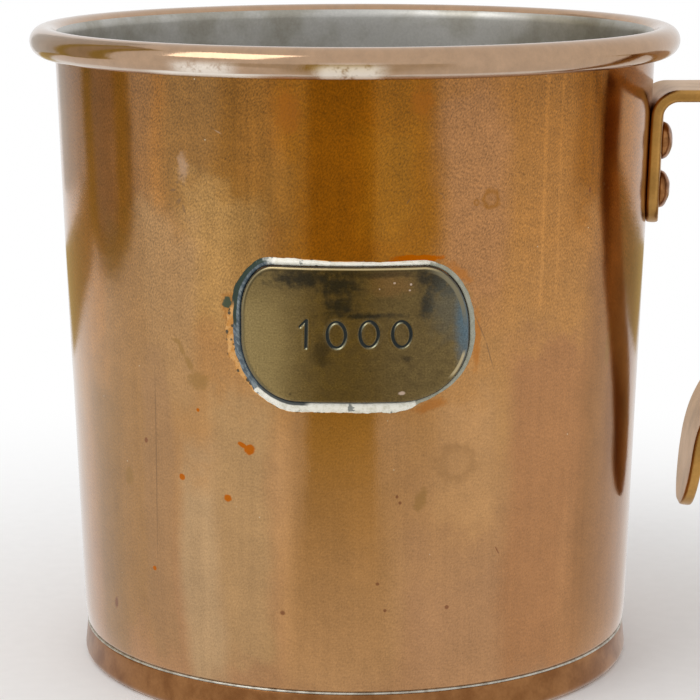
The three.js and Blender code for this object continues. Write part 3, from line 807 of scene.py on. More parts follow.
def white_solder():
    """Solder round the plaque: chalk white above and below, blue-grey with a green crust on the left, plain
    grey on the right, and a pitted orange crust outside it on the left."""
    paint = Paint("plaque_solder", 0.25, 0.5)
    wrap = paint.wrap()
    arc, height, _ = paint.parts(wrap)
    rise = height - PLAQUE_MIDDLE / MM
    direction = paint.math("ARCTAN2", rise, arc) * (180 / math.pi)
    mottle = paint.noise(1.1, detail=4.0, rough=0.7)
    smudge = paint.noise(2.4, detail=3.0, rough=0.65, shift=(1, 6, 2))
    streak = paint.noise((0.5, 1.6, 1.0), detail=3.0, rough=0.7, vector=wrap, turn=-35)
    across = paint.mark("across")
    wavy = direction + (smudge - 0.5) * 14.0
    white = paint.most(wavy.band(*WHITE_TOP), wavy.band(*WHITE_BOTTOM))
    on_left = arc.between(2.0, -2.0)
    blue = paint.mix(streak.between(0.40, 0.70), BLUE_DARK, BLUE_LIGHT)
    blue = paint.mix(across.between(0.30, 0.10) * 0.85, blue, BLUE_EDGE)
    crust = across.between(0.50, 0.62) * direction.band(*CRUSTED)
    blue = paint.mix(crust, blue, paint.mix(streak.between(0.64, 0.76), CRUST_DARK, CRUST_LIGHT))
    grey = paint.mix(mottle.between(0.34, 0.66), GREY_DARK, GREY_LIGHT)
    grey = paint.mix(across.between(0.24, 0.10) * 0.8, grey, GREY_EDGE)
    chalk = paint.mix(mottle.between(0.3, 0.6), CHALK_DARK, CHALK_LIGHT)
    chalk = paint.mix(across.between(0.16, 0.04) * 0.8, chalk, CHALK_EDGE)
    low_left = across.between(0.40, 0.28) * direction.band(*DARK_LOW_LEFT)
    chalk = paint.mix(low_left * 0.95, chalk, CHALK_LINE)
    chalk = paint.mix(smudge.between(0.645, 0.70) * 0.8, chalk, CHALK_HOLE)
    colour = paint.mix(white, paint.mix(on_left, grey, blue), chalk)
    outer = across.between(0.98, 1.04) * (1.0 - direction.band(*WITHOUT_TAN))
    pits = paint.cells(1.15).between(0.36, 0.22)
    tan = paint.mix(mottle.between(0.35, 0.65), TAN_DARK, TAN_LIGHT)
    tan = paint.mix(pits * 0.9, tan, TAN_PIT)
    paint.set("Base Color", paint.mix(outer * on_left, colour, tan))
    paint.set("Roughness", mottle * 0.3 + 0.32)
    paint.set("Normal", paint.bump(1.0 - pits * outer, 0.10, paint.bump(mottle, 0.06)))
    return paint.material


# The wall, with its rim curled round the wire

TIN_TOP = WIRE_HEIGHT + BEAD_RADIUS * 0.75
# Depth and size of lumps
WIDE_DENTS = (0.10 * MM, 30 * MM)
SMALL_DENTS = (0.025 * MM, 9 * MM)
CREASE_LUMPS = (0.06 * MM, 4 * MM)
INNER_LUMPS = (-0.3 * MM, 6 * MM)
DENTS_START = CREASE_HEIGHT + 12 * MM
FILLET_STEPS = 8
FILLET_HOLLOW = 0.92
CREASE_BULGE = 0.42 * MM


def wall_profile():
    """The sheet's section: up the outside, round the curl, back over it and down the inside."""
    lip_inner = CREASE_RADIUS - SHEET
    foot = lip_inner - CLEARANCE
    bottom = base_low.z + SHEET + CLEARANCE
    shoulder = CREASE_HEIGHT + CLEARANCE
    tuck = []
    for step in range(FILLET_STEPS + 1):
        share = step / FILLET_STEPS
        height = shoulder + TUCK_HEIGHT * share
        tuck.append((wall_radius(height) - CREASE_TUCK * (1 - share) ** 2, height))
    inner_size = WIRE_RADIUS + CLEARANCE
    free_edge = math.degrees(math.acos((CLEARANCE - inner_size) / BEAD_RADIUS))
    curl_inside = arc_points(WIRE_RING, WIRE_HEIGHT, inner_size, 180, -free_edge, 22)
    curl_outside = arc_points(WIRE_RING, WIRE_HEIGHT, BEAD_RADIUS, -free_edge, 180, 32)
    inner_tuck = [(radius - SHEET, height + SHEET) for radius, height in reversed(tuck)]
    return [
        (foot - SHEET, bottom), (foot, bottom), (foot, shoulder),
        *tuck,
        *straight_points(tuck[-1], curl_inside[0], 60),
        *curl_inside,
        *curl_outside,
        *straight_points(curl_outside[-1], inner_tuck[0], 60),
        *inner_tuck,
        (foot - SHEET, shoulder + SHEET),
    ]


def make_wall(outside, inside):
    bm = turned(wall_profile(), closed=True)
    for face in bm.faces:
        centre = face.calc_center_median()
        radius = math.hypot(centre.x, centre.y)
        face.material_index = radius < wall_radius(centre.z) - SHEET / 2 and centre.z < TIN_TOP
    for vert in bm.verts:
        dent = swell(*vert.co, *WIDE_DENTS) + swell(*vert.co, *SMALL_DENTS)
        push_out(vert, dent * smooth_step(CREASE_HEIGHT, DENTS_START, vert.co.z))
    finished("cup_wall", bm, [outside, inside], "copper", "wall")


# Base


def make_base(material, inside):
    outer_bottom = CREASE_RADIUS + LIP_FLARE
    centre = outer_bottom - BASE_CORNER
    inner_size = BASE_CORNER - SHEET
    lip_inner = CREASE_RADIUS - SHEET
    low = base_low.z
    profile = [
        (0, low),
        *straight_points((0, low), (centre, low), 24),
        *arc_points(centre, low + BASE_CORNER, BASE_CORNER, -90, 0, 10),
        *straight_points((outer_bottom, low + BASE_CORNER), (CREASE_RADIUS, CREASE_HEIGHT), 6),
        *arc_points(CREASE_RADIUS - SHEET / 2, CREASE_HEIGHT - SHEET / 2, SHEET / 2, 0, 180, 8),
        *arc_points(lip_inner - inner_size, low + BASE_CORNER, inner_size, 0, -90, 6),
        *straight_points((lip_inner - inner_size, low + SHEET), (0, low + SHEET), 24),
        (0, low + SHEET),
    ]
    bm = turned(profile, closed=False)
    for face in bm.faces:
        middle = face.calc_center_median()
        on_floor = middle.z > low + SHEET * 0.9 and math.hypot(middle.x, middle.y) < lip_inner - inner_size
        face.material_index = on_floor
    finished("cup_base", bm, [material, inside], "copper_base", "base_disc")


def make_crease_solder(material):
    """The thin line of solder that shows in the crease, where the wall stands in the base's lip."""
    radius = CREASE_RADIUS - SHEET * 0.35
    bulge = arc_points(radius, CREASE_HEIGHT - SEAT_GAP, CREASE_BULGE, 0, 100, 6)
    inner = radius - SHEET
    bm = turned([(inner, CREASE_HEIGHT - 0.3 * MM), *bulge, (inner, CREASE_HEIGHT + 0.5 * MM)], closed=True)
    for vert in bm.verts:
        push_out(vert, swell(*vert.co, *CREASE_LUMPS))
    finished("crease_solder", bm, [material], "solder")


def make_inner_solder(material):
    outer = CREASE_RADIUS - 2 * SHEET - CLEARANCE - SEAT_GAP
    bottom = base_low.z + SHEET + SEAT_GAP
    hollow = SOLDER_LEG * FILLET_HOLLOW
    fillet = arc_points(outer - SOLDER_LEG, bottom + SOLDER_LEG, hollow, -90, 0, FILLET_STEPS)
    profile = [(outer, bottom), (outer - SOLDER_LEG, bottom), *fillet, (outer, bottom + SOLDER_LEG)]
    bm = turned(profile, closed=True)
    bmesh.ops.remove_doubles(bm, verts=bm.verts, dist=0.01 * MM)
    for vert in bm.verts:
        x, y, z = vert.co
        if z > bottom + 0.1 * MM and math.hypot(x, y) < outer - 0.1 * MM:
            push_out(vert, swell(x, y, z, *INNER_LUMPS))
    finished("inner_seam_solder", bm, [material], "solder", "base_solder")


# Plaque

# Rows and columns of the plaque's face are closer together at its figures and along its edge
COLUMN_KNOTS = [(0.0, 0.0), (0.72, 0.56), (0.86, 0.93), (1.0, 1.0)]
ROW_KNOTS = [(0.0, 0.0), (0.45, 0.27), (0.80, 0.90), (1.0, 1.0)]
PLAQUE_COLUMNS = 260
PLAQUE_ROWS = 116
# Depth and size of its unevenness, and how wide and deep its edge is rolled over, wider on the right
PLAQUE_WAVES = (0.05 * MM, 8 * MM)
PLAQUE_RIPPLES = (0.012 * MM, 2.2 * MM)
EDGE_WAVES = (0.05 * MM, 5 * MM)
ROLL_LEFT = 0.45 * MM
ROLL_WIDER = 0.55 * MM
ROLL_DROP = 0.42 * MM


def spaced(share, knots):
    """A share of 0 to 1 moved along straight runs between knots, which count from the middle outward."""
    side = share * 2 - 1
    size = abs(side)
    for (from_share, from_place), (to_share, to_place) in zip(knots, knots[1:]):
        if size <= to_share:
            place = from_place + (to_place - from_place) * (size - from_share) / (to_share - from_share)
            return math.copysign(place, side)
    return math.copysign(1.0, side)


def plaque_corner(u, v):
    """Width and height of the corner on the same side of the plaque as a point."""
    if v >= 0:
        return PLAQUE_TOP_RIGHT if u >= 0 else PLAQUE_TOP_LEFT
    return PLAQUE_BOTTOM_RIGHT if u >= 0 else PLAQUE_BOTTOM_LEFT


def plaque_edge(u, up):
    """Height of the plaque's outline above (up 1) or below (up -1) its middle at u."""
    across, rise = plaque_corner(u, up)
    over = max(abs(u) - (PLAQUE_HALF_WIDTH - across), 0.0) / across
    return up * (PLAQUE_HALF_HEIGHT - rise * round_drop(over))


def edge_distance(u, v):
    """How far inside the plaque's outline a point is."""
    across, rise = plaque_corner(u, v)
    beyond_u = abs(u) - (PLAQUE_HALF_WIDTH - across)
    beyond_v = abs(v) - (PLAQUE_HALF_HEIGHT - rise)
    if beyond_u <= 0 or beyond_v <= 0:
        return min(PLAQUE_HALF_WIDTH - abs(u), PLAQUE_HALF_HEIGHT - abs(v))
    share = math.hypot(beyond_u / across, beyond_v / rise)
    return math.hypot(beyond_u, beyond_v) * (1 / max(share, 0.001) - 1)


def on_plaque_shell(u, v, lift):
    """A point of the flat plaque drawing laid on the wall's front, that far off the wall's outside."""
    height = PLAQUE_MIDDLE + v
    radius = wall_radius(height) + lift
    return Vector((u, -math.sqrt(radius * radius - u * u), height))


# Hand-stamped figures: strokes in units of the figure's height, from its middle
FIGURE_HEIGHT = 4.7 * MM
STROKE_HALF = 0.35 * MM
STROKE_DEPTH = 0.24 * MM
STROKE_LIP = 0.035 * MM
FIGURE_RISE = 0.15 * MM


def ring_stroke(wide, tall, steps):
    return [(wide * x, tall * y) for x, y in arc_points(0, 0, 1, 0, 360, steps)]


ONE = [[(-0.20, 0.26), (0.02, 0.5), (0.02, -0.5)]]
NOUGHT = [ring_stroke(0.33, 0.47, 28)]
# Each figure: strokes, place along the plaque, rise, turn in degrees
STAMPED = [
    (ONE, -8.3 * MM, 0.05 * MM, -1.5),
    (NOUGHT, -3.1 * MM, -0.06 * MM, 1.0),
    (NOUGHT, 2.4 * MM, 0.10 * MM, -1.0),
    (NOUGHT, 7.9 * MM, 0.0, 2.0),
]


def stroke_distance(point, strokes):
    """Distance from a point to the nearest of some strokes."""
    nearest = 1.0
    for stroke in strokes:
        for start, stop in zip(stroke, stroke[1:]):
            run = stop - start
            share = min(max((point - start).dot(run) / run.length_squared, 0.0), 1.0)
            nearest = min(nearest, (start + run * share - point).length)
    return nearest


def placed_strokes():
    """The figures' middles, each with its strokes laid out on the plaque."""
    figures = []
    for strokes, place, rise, turn in STAMPED:
        turning = Matrix.Rotation(math.radians(turn), 2)
        middle = Vector((place, FIGURE_RISE + rise))
        laid = [[turning @ Vector(point) * FIGURE_HEIGHT + middle for point in stroke] for stroke in strokes]
        figures.append((middle, laid))
    return figures


def make_plaque(material):
    figures = placed_strokes()
    reach = FIGURE_HEIGHT * 0.75

    def groove_away(u, v):
        """Distance to the nearest stroke, in half stroke widths."""
        point = Vector((u, v))
        away = 9.0
        for middle, strokes in figures:
            if (point - middle).length < reach:
                away = min(away, stroke_distance(point, strokes) / STROKE_HALF)
        return away

    def height_at(u, v):
        lift = swell(u, v, 0, *PLAQUE_WAVES) + swell(u, v, 1, *PLAQUE_RIPPLES)
        away = groove_away(u, v)
        lift -= STROKE_DEPTH * (1 - smooth_step(0.0, 1.0, away))
        lift += STROKE_LIP * smooth_step(0.9, 1.15, away) * (1 - smooth_step(1.15, 2.2, away))
        roll = ROLL_LEFT + ROLL_WIDER * smooth_step(0.2, 0.9, u / PLAQUE_HALF_WIDTH)
        inside = edge_distance(u, v) + swell(u, v, 3, *EDGE_WAVES)
        share = 1 - min(max(inside / roll, 0.0), 1.0)
        return PLAQUE_THICKNESS + CLEARANCE + lift - ROLL_DROP * round_drop(share)

    def flat_place(column, row):
        u = PLAQUE_HALF_WIDTH * spaced(column, COLUMN_KNOTS)
        top = plaque_edge(u, 1)
        bottom = plaque_edge(u, -1)
        return u, (top + bottom) / 2 + (top - bottom) / 2 * spaced(row, ROW_KNOTS)

    def place(column, row):
        u, v = flat_place(column, row)
        return Vector((u, v, height_at(u, v)))

    def groove(column, row):
        return 1 - smooth_step(0.2, 1.2, groove_away(*flat_place(column, row)))

    def edge(column, row):
        return edge_distance(*flat_place(column, row)) / MM

    bm = lofted(PLAQUE_COLUMNS, PLAQUE_ROWS, place, groove=groove, edge=edge)
    add_back(bm, lambda point: (point.x, point.y, SEAT_GAP))
    for vert in bm.verts:
        vert.co = on_plaque_shell(*vert.co)
    finished("plaque_plate", bm, [material], "brass", "plaque")


# Solder round the plaque: direction from its middle in degrees, its width and height, and the width of the
# thin crust outside it, all in millimetres
SOLDER_COURSE = [
    (-180, 1.30, 0.34, 1.35), (-171, 1.25, 0.34, 1.25), (-164, 1.15, 0.34, 1.05), (-155, 1.20, 0.34, 0.55),
    (-150, 1.60, 0.46, 0.20), (-128, 1.90, 0.48, 0.10), (-92, 1.80, 0.46, 0.10), (-60, 1.80, 0.42, 0.10),
    (-54, 1.50, 0.38, 0.10), (-45, 0.60, 0.26, 0.10), (-36, 0.50, 0.26, 0.10), (-20, 0.75, 0.32, 0.10),
    (0, 0.95, 0.36, 0.10), (30, 0.78, 0.34, 0.10), (41, 0.72, 0.36, 0.10), (46, 0.80, 0.42, 0.10),
    (70, 0.62, 0.42, 0.10), (100, 0.78, 0.46, 0.10), (135, 1.15, 0.50, 0.10), (150, 1.20, 0.38, 0.25),
    (166, 1.20, 0.34, 0.40), (173, 1.30, 0.34, 1.10), (180, 1.30, 0.34, 1.35),
]
SOLDER_COLUMNS = 480
SOLDER_ROWS = 18
SOLDER_SHARE = 0.62
CRUST_HEIGHT = 0.13 * MM
SOLDER_BACK = 0.01 * MM
SOLDER_INSET = 0.06 * MM
INSET_WAVES = (0.04 * MM, 3 * MM)
SOLDER_LUMPS = (0.06 * MM, 0.9 * MM)
# Its rounded section, and how ragged its edge and the crust's edge are
CROWN_START = 0.14
CROWN_FULLNESS = 0.6
CRUST_SHOWS = 0.6
RAGGED_WIDE = 1.6 * MM
RAGGED_FINE = 0.6 * MM
SOLDER_RAGGED = 0.09
CRUST_RAGGED = 0.30
CORNER_STATIONS = 40


def course_at(angle):
    """The solder's width and height and its crust's width, in a direction from the plaque's middle."""
    for (start, *before), (stop, *after) in zip(SOLDER_COURSE, SOLDER_COURSE[1:]):
        if start <= angle <= stop:
            share = smooth_step(start, stop, angle)
            return [(a + (b - a) * share) * MM for a, b in zip(before, after)]
    return [value * MM for value in SOLDER_COURSE[0][1:]]


def outline_points():
    """Points round the plaque's outline, each with the direction that leaves it, and the lengths to them."""
    points = []
    corners = [
        (PLAQUE_TOP_RIGHT, 1, 1),
        (PLAQUE_TOP_LEFT, -1, 1),
        (PLAQUE_BOTTOM_LEFT, -1, -1),
        (PLAQUE_BOTTOM_RIGHT, 1, -1),
    ]
    for turn, ((across, rise), right, up) in enumerate(corners):
        middle = Vector((right * (PLAQUE_HALF_WIDTH - across), up * (PLAQUE_HALF_HEIGHT - rise)))
        for step in range(CORNER_STATIONS + 1):
            angle = math.radians(90 * turn + 90 * step / CORNER_STATIONS)
            point = middle + Vector((across * math.cos(angle), rise * math.sin(angle)))
            leave = Vector((math.cos(angle) / across, math.sin(angle) / rise)).normalized()
            points.append((point, leave))
    points.append(points[0])
    return points, path_lengths([point for point, _ in points])


def make_plaque_solder(material):
    points, lengths = outline_points()
    stations = []
    for column in range(SOLDER_COLUMNS):
        index, share = along(lengths, lengths[-1] * column / SOLDER_COLUMNS)
        (here, leave), (there, leave_there) = points[index - 1], points[index]
        stations.append((here.lerp(there, share), leave.lerp(leave_there, share).normalized()))

    def across(column, row):
        """0 to 1 over the solder, then 1 to 2 over the crust."""
        if row <= SOLDER_SHARE:
            return row / SOLDER_SHARE
        return 1 + (row - SOLDER_SHARE) / (1 - SOLDER_SHARE)

    def place(column, row):
        point, leave = stations[round(column * SOLDER_COLUMNS) % SOLDER_COLUMNS]
        width, height, crust = course_at(math.degrees(math.atan2(point.y, point.x)))
        ragged = lumps(point.x, point.y, 5, RAGGED_WIDE) + 0.5 * lumps(point.x, point.y, 7, RAGGED_FINE)
        inner = SOLDER_INSET + swell(point.x, point.y, 9, *INSET_WAVES)
        over = across(column, row)
        reach = inner + width * (1 + SOLDER_RAGGED * ragged) * min(over, 1.0)
        reach += crust * (1 + CRUST_RAGGED * ragged) * max(over - 1.0, 0.0)
        spot = point + leave * reach
        round_share = CROWN_START + over * (1 - CROWN_START)
        crown = math.sin(math.pi * round_share) ** CROWN_FULLNESS if over < 1 else 0.0
        edge_of_crust = CRUST_HEIGHT * (1 - max(over - 1.0, 0.0) ** 3) if over > CRUST_SHOWS else 0.0
        rough = swell(spot.x, spot.y, 2, *SOLDER_LUMPS) * crown
        lift = max(height * crown + rough, edge_of_crust)
        return on_plaque_shell(spot.x, spot.y, max(SEAT_GAP + lift, SEAT_GAP))

    bm = lofted(SOLDER_COLUMNS, SOLDER_ROWS, place, closed=True, across=across)
    add_back(bm, lambda point: on_plaque_shell(point.x, point.z - PLAQUE_MIDDLE, SOLDER_BACK))
    finished("plaque_solder_bead", bm, [material], "solder", "plaque_solder")


# Handle

BEND_STEPS = 16


def rounded_path(corners):
    """Points of a path of straight runs with rounded corners."""
    points = [Vector(corners[0][:2])]
    for before, here, after in zip(corners, corners[1:], corners[2:]):
        corner = Vector(here[:2])
        back = (Vector(before[:2]) - corner).normalized()
        ahead = (Vector(after[:2]) - corner).normalized()
        half = back.angle(ahead) / 2
        bend = here[2]
        centre = corner + (back + ahead).normalized() * (bend / math.sin(half))
        start = (corner + back * (bend / math.tan(half)) - centre).normalized()
        stop = (corner + ahead * (bend / math.tan(half)) - centre).normalized()
        for step in range(BEND_STEPS + 1):
            points.append(centre + start.slerp(stop, step / BEND_STEPS) * bend)
    points.append(Vector(corners[-1][:2]))
    return points


def strap_route():
    """The strap's middle line from the tab's end to the free end, in the handle's plane, and its lengths."""
    half = STRAP_THICKNESS / 2
    elbow = TAIL_END + ELBOW_RISE
    grip = wall_radius(ARM_MIDDLE) + GRIP_REACH + half
    points = rounded_path([
        (wall_radius(TAB_END) + SEAT_GAP + half, TAB_END, 0),
        (wall_radius(ARM_MIDDLE) + SEAT_GAP + half, ARM_MIDDLE, ROOT_BEND),
        (grip, ARM_MIDDLE, GRIP_BEND),
        (grip, ARM_MIDDLE - GRIP_DROP, HEEL_BEND),
        (wall_radius(elbow) + ELBOW_REACH, elbow, ELBOW_BEND),
        (wall_radius(TAIL_END) + TAIL_GAP + half, TAIL_END, 0),
    ])
    return points, path_lengths(points)


def strap_half(height):
    """Half the strap's width at a height: it tapers towards the free end."""
    share = min(max((TAIL_END + TAPER_RISE - height) / TAPER_RISE, 0.0), 1.0)
    return (STRAP_WIDTH + (TAIL_WIDTH - STRAP_WIDTH) * share) / 2


STRAP_STATIONS = 400
STRAP_ROUND = 8
STRAP_ACROSS = 26
STATION_CROWDING = 0.155
NEARBY = 0.2 * MM
HAMMER_MARKS = (0.05 * MM, 6 * MM)


def strap_section():
    """The strap's section as a loop of flats and rounded edges: side, share of the flat, face, rounding."""
    loop = []
    for corner, (right, out) in enumerate([(1, 1), (-1, 1), (-1, -1), (1, -1)]):
        for step in range(STRAP_ROUND + 1):
            angle = math.radians(90 * corner + 90 * step / STRAP_ROUND)
            loop.append((right, 1.0, out, math.cos(angle), math.sin(angle)))
        if corner in (0, 2):
            for step in range(1, STRAP_ACROSS):
                loop.append((right, 1 - 2 * step / STRAP_ACROSS, out, 0.0, float(out)))
    return loop


def make_handle(material):
    points, lengths = strap_route()
    total = lengths[-1]
    section = strap_section()

    def route_at(distance):
        index, share = along(lengths, distance)
        return points[index - 1].lerp(points[index], share)

    def rounding(to_end, size):
        """How much a rounding of that size takes off at that distance from the strap's end."""
        return size * round_drop(max(size - to_end, 0.0) / size)

    def half_at(distance):
        """Half the strap's width, with the tab's corners rounded and the free end a half oval."""
        half = strap_half(route_at(distance).y) - rounding(distance, TAB_CORNER)
        short = max(TIP_LENGTH - (total - distance), 0.0) / TIP_LENGTH
        tip = strap_half(TAIL_END + TIP_LENGTH) * (1 - round_drop(short))
        return max(min(half, tip), TIP_FLAT) if short > 0 else half

    stations = []
    for step in range(STRAP_STATIONS + 1):
        share = step / STRAP_STATIONS
        # Stations crowd towards both ends, where the strap's corners are rounded
        distance = total * (share - STATION_CROWDING * math.sin(math.tau * share))
        tangent = route_at(min(distance + NEARBY, total)) - route_at(max(distance - NEARBY, 0))
        tangent.normalize()
        outward = Vector((tangent.y, -tangent.x))
        thick = STRAP_THICKNESS / 2 - rounding(min(distance, total - distance), STRAP_EDGE)
        stations.append((route_at(distance), outward, half_at(distance), thick))

    def place(column, row):
        right, flat, out, cos, sin = section[round(column * len(section)) % len(section)]
        here, outward, half, thick = stations[round(row * STRAP_STATIONS)]
        edge = min(STRAP_EDGE, thick, half)
        y = -(right * (half - edge) * flat + edge * cos)
        through = out * (thick - edge) + edge * sin
        x = here.x + outward.x * through
        z = here.y + outward.y * through
        hammer = swell(x, y, z, *HAMMER_MARKS)
        x += outward.x * hammer
        z += outward.y * hammer
        away = x - wall_radius(z) - SEAT_GAP - STRAP_THICKNESS
        curl = 1 - smooth_step(CURL_NEAR, CURL_FAR, away) if z > TAB_END - STRAP_THICKNESS else 0.0
        bent_x = x - curl * x * (1 - math.cos(y / x))
        bent_y = y + curl * (x * math.sin(y / x) - y)
        return Vector((bent_x, bent_y, z))

    bm = lofted(len(section), STRAP_STATIONS, place, closed=True)
    bmesh.ops.holes_fill(bm, edges=[edge for edge in bm.edges if edge.is_boundary])
    finished("cup_handle", bm, [material], "copper", "handle")


# Rivets

PEEN_MARKS = (0.16 * MM, 1.7 * MM)
DOME_STEPS = 10


def make_rivet(name, side, height, outside, inside):
    radius = wall_radius(height)
    turn = side * RIVET_SPACING / 2 / radius
    level = math.cos(WALL_LEAN)
    outward = Vector((level * math.cos(turn), level * math.sin(turn), -math.sin(WALL_LEAN)))
    inner = -SHEET - SEAT_GAP
    inner_seat = inner + 0.15 * MM
    outer = STRAP_THICKNESS
    dome_start = outer + 0.2 * MM
    dome_rise = HEAD_HEIGHT * 0.94
    dome = [(HEAD_RADIUS, outer), (HEAD_RADIUS * 1.01, outer + 0.25 * MM)]
    for step in range(1, DOME_STEPS):
        angle = math.radians(90 * step / DOME_STEPS)
        dome.append((HEAD_RADIUS * math.cos(angle), dome_start + dome_rise * math.sin(angle)))
    profile = [
        (0, inner - INNER_HEAD_HEIGHT),
        (INNER_HEAD_FLAT * 0.6, inner - INNER_HEAD_HEIGHT),
        (INNER_HEAD_FLAT, inner - INNER_HEAD_HEIGHT * 0.96),
        ((INNER_HEAD_FLAT + INNER_HEAD_RADIUS) / 2, inner - INNER_HEAD_HEIGHT * 0.68),
        (INNER_HEAD_RADIUS * 0.97, inner - INNER_HEAD_HEIGHT * 0.25),
        (INNER_HEAD_RADIUS, inner_seat),
        (SHANK_RADIUS, inner_seat),
        (SHANK_RADIUS, outer),
        *dome,
        (0, dome_start + dome_rise),
    ]
    bm = turned(profile, closed=False, steps=40)
    for face in bm.faces:
        face.material_index = face.calc_center_median().z < 0
    for vert in bm.verts:
        x, y, z = vert.co
        if z > outer + 0.3 * MM:
            vert.co.z += swell(x + height, y + turn, z, *PEEN_MARKS)
    place = Matrix.Translation((radius * math.cos(turn), radius * math.sin(turn), height))
    aim = Vector((0, 0, 1)).rotation_difference(outward).to_matrix().to_4x4()
    bmesh.ops.transform(bm, matrix=place @ aim, verts=bm.verts)
    finished(name.replace("rivet", "rivet_head"), bm, [outside, inside], "copper_rivet", name)


# Camera, world, floor and the dark things round the table that the copper mirrors

FOCAL_PIXELS = 2600.0
PHOTO_PIXELS = 700
SENSOR = 36.0
CAMERA_DISTANCE = 483.8 * MM
CAMERA_HEIGHT = 152.1 * MM
CAMERA_PITCH = 11.12
CAMERA_YAW = -0.11
CAMERA_ROLL = 0.05


def make_camera():
    data = bpy.data.cameras.new("camera")
    data.sensor_width = SENSOR
    data.lens = FOCAL_PIXELS * SENSOR / PHOTO_PIXELS
    data.clip_start = 0.01
    camera = bpy.data.objects.new("camera", data)
    bpy.context.scene.collection.objects.link(camera)
    camera.location = (0, -CAMERA_DISTANCE, CAMERA_HEIGHT)
    turn = Euler((math.radians(90 - CAMERA_PITCH), 0, -math.radians(CAMERA_YAW)), "XYZ")
    roll = Euler((0, 0, -math.radians(CAMERA_ROLL)), "XYZ")
    camera.rotation_euler = (turn.to_matrix() @ roll.to_matrix()).to_euler()
    bpy.context.scene.camera = camera


WORLD_LEVEL = 0.92


def make_world():
    """An even white world, a little darker as light than as the camera sees it."""
    world = bpy.data.worlds.new("studio")
    world.use_nodes = True
    bpy.context.scene.world = world
    nodes = world.node_tree.nodes
    links = world.node_tree.links
    path = nodes.new("ShaderNodeLightPath")
    choose = nodes.new("ShaderNodeMixShader")
    links.new(path.outputs["Is Camera Ray"], choose.inputs[0])
    backgrounds = [nodes["Background"], nodes.new("ShaderNodeBackground")]
    for index, (background, level) in enumerate(zip(backgrounds, (WORLD_LEVEL, 1.0)), start=1):
        background.inputs["Color"].default_value = (1, 1, 1, 1)
        background.inputs["Strength"].default_value = level
        links.new(background.outputs[0], choose.inputs[index])
    links.new(choose.outputs[0], nodes["World Output"].inputs["Surface"])


FLOOR_RADIUS = 3.0
PAPER = (0.86, 0.86, 0.86)
# What the copper mirrors from the floor: light paper near the cup, and the room in front, darkest in its
# middle. Lengths are in millimetres and directions in degrees from the front, + left
NEAR_LEVEL = 0.86
NEAR_FADE = (70.0, 260.0)
FAR_FADE = (170.0, 420.0)
ROOM_SIDES = (0.68, 0.64, 0.56)
ROOM_MIDDLE = (0.49, 0.38, 0.12)
BACK_STRIP = (0.48, 0.36, 0.15)
LEFT_LIMIT = 22.0
LEFT_SOFT = 6.0
LEFT_WIDENING = 23.0
RIGHT_FAR = (-35.0, -27.0)
RIGHT_NEAR = (-48.0, -4.0)
SIDES_START = (90.0, 230.0)
MIDDLE_START = (25.0, 240.0)
MIDDLE_SHARPENS = (110.0, 250.0)
MIDDLE_BAND = (-5.5, 15.5)
MIDDLE_SOFT_NEAR = 15.0
MIDDLE_SOFT_FAR = 3.0
# The plank behind the cup on both sides: its near and far edge on the axis, and how they slope outwards
PLANK_NEAR = (281.0, -0.175)
PLANK_FAR = (540.0, -0.37)
PLANK_START = (130.0, 170.0)
# Where the camera sees the paper fade to plain white
SHADOW_FADE = (75.0, 230.0)


def mirrored_floor(paint):
    """The floor's light as the metal mirrors it, by direction and distance from the cup's axis."""
    x, y, _ = paint.parts(paint.point)
    away = paint.math("SQRT", x * x + y * y)
    turn = paint.math("ARCTAN2", x * -1.0, y * -1.0) * (180 / math.pi)
    far = away.between(*FAR_FADE)
    left = (turn + far * -LEFT_WIDENING).between(LEFT_LIMIT + LEFT_SOFT, LEFT_LIMIT - LEFT_SOFT)
    right = paint.blend(far, turn.between(*RIGHT_NEAR), turn.between(*RIGHT_FAR))
    sides = left * right * away.between(*SIDES_START)
    soft, sharp = [turn.band(*MIDDLE_BAND, edge) for edge in (MIDDLE_SOFT_NEAR, MIDDLE_SOFT_FAR)]
    middle = paint.blend(away.between(*MIDDLE_SHARPENS), soft, sharp)
    middle = middle * away.between(*MIDDLE_START, smooth=False)
    out = paint.math("ABSOLUTE", x)
    past_near, past_far = [y + (out * -slope - start) for start, slope in (PLANK_NEAR, PLANK_FAR)]
    strip = past_near.between(-8.0, 8.0) * past_far.between(14.0, -14.0) * out.between(*PLANK_START)
    level = paint.blend(away.between(*NEAR_FADE), NEAR_LEVEL, WORLD_LEVEL)
    room = paint.mix(middle, paint.mix(sides, (WORLD_LEVEL,) * 3, ROOM_SIDES), ROOM_MIDDLE)
    return paint.shade(paint.mix(strip, room, BACK_STRIP), level * (1 / WORLD_LEVEL)), away


def floor_paint():
    """White paper that keeps the cup's shadow and fades to plain white further off. The metal mirrors it as
    light paper with the room in front beyond it."""
    paint = Paint("white_paper", 0.0, 0.8)
    fibres = paint.noise(3.0, detail=4.0)
    paint.set("Base Color", paint.shade(PAPER, fibres * 0.06 + 0.97))
    mirrored, away = mirrored_floor(paint)
    glossy = paint.node("LightPath", {}, "Is Glossy Ray")
    camera = Value(paint, glossy.socket.node.outputs["Is Camera Ray"])
    glow = paint.node("Emission", {"Color": paint.mix(glossy, (1.0, 1.0, 1.0), mirrored)})
    share = paint.most(glossy, camera * away.between(*SHADOW_FADE))
    paper = Value(paint, paint.shader.outputs[0])
    paint.show(paint.node("MixShader", {0: share, 1: paper, 2: glow}))
    return paint.material


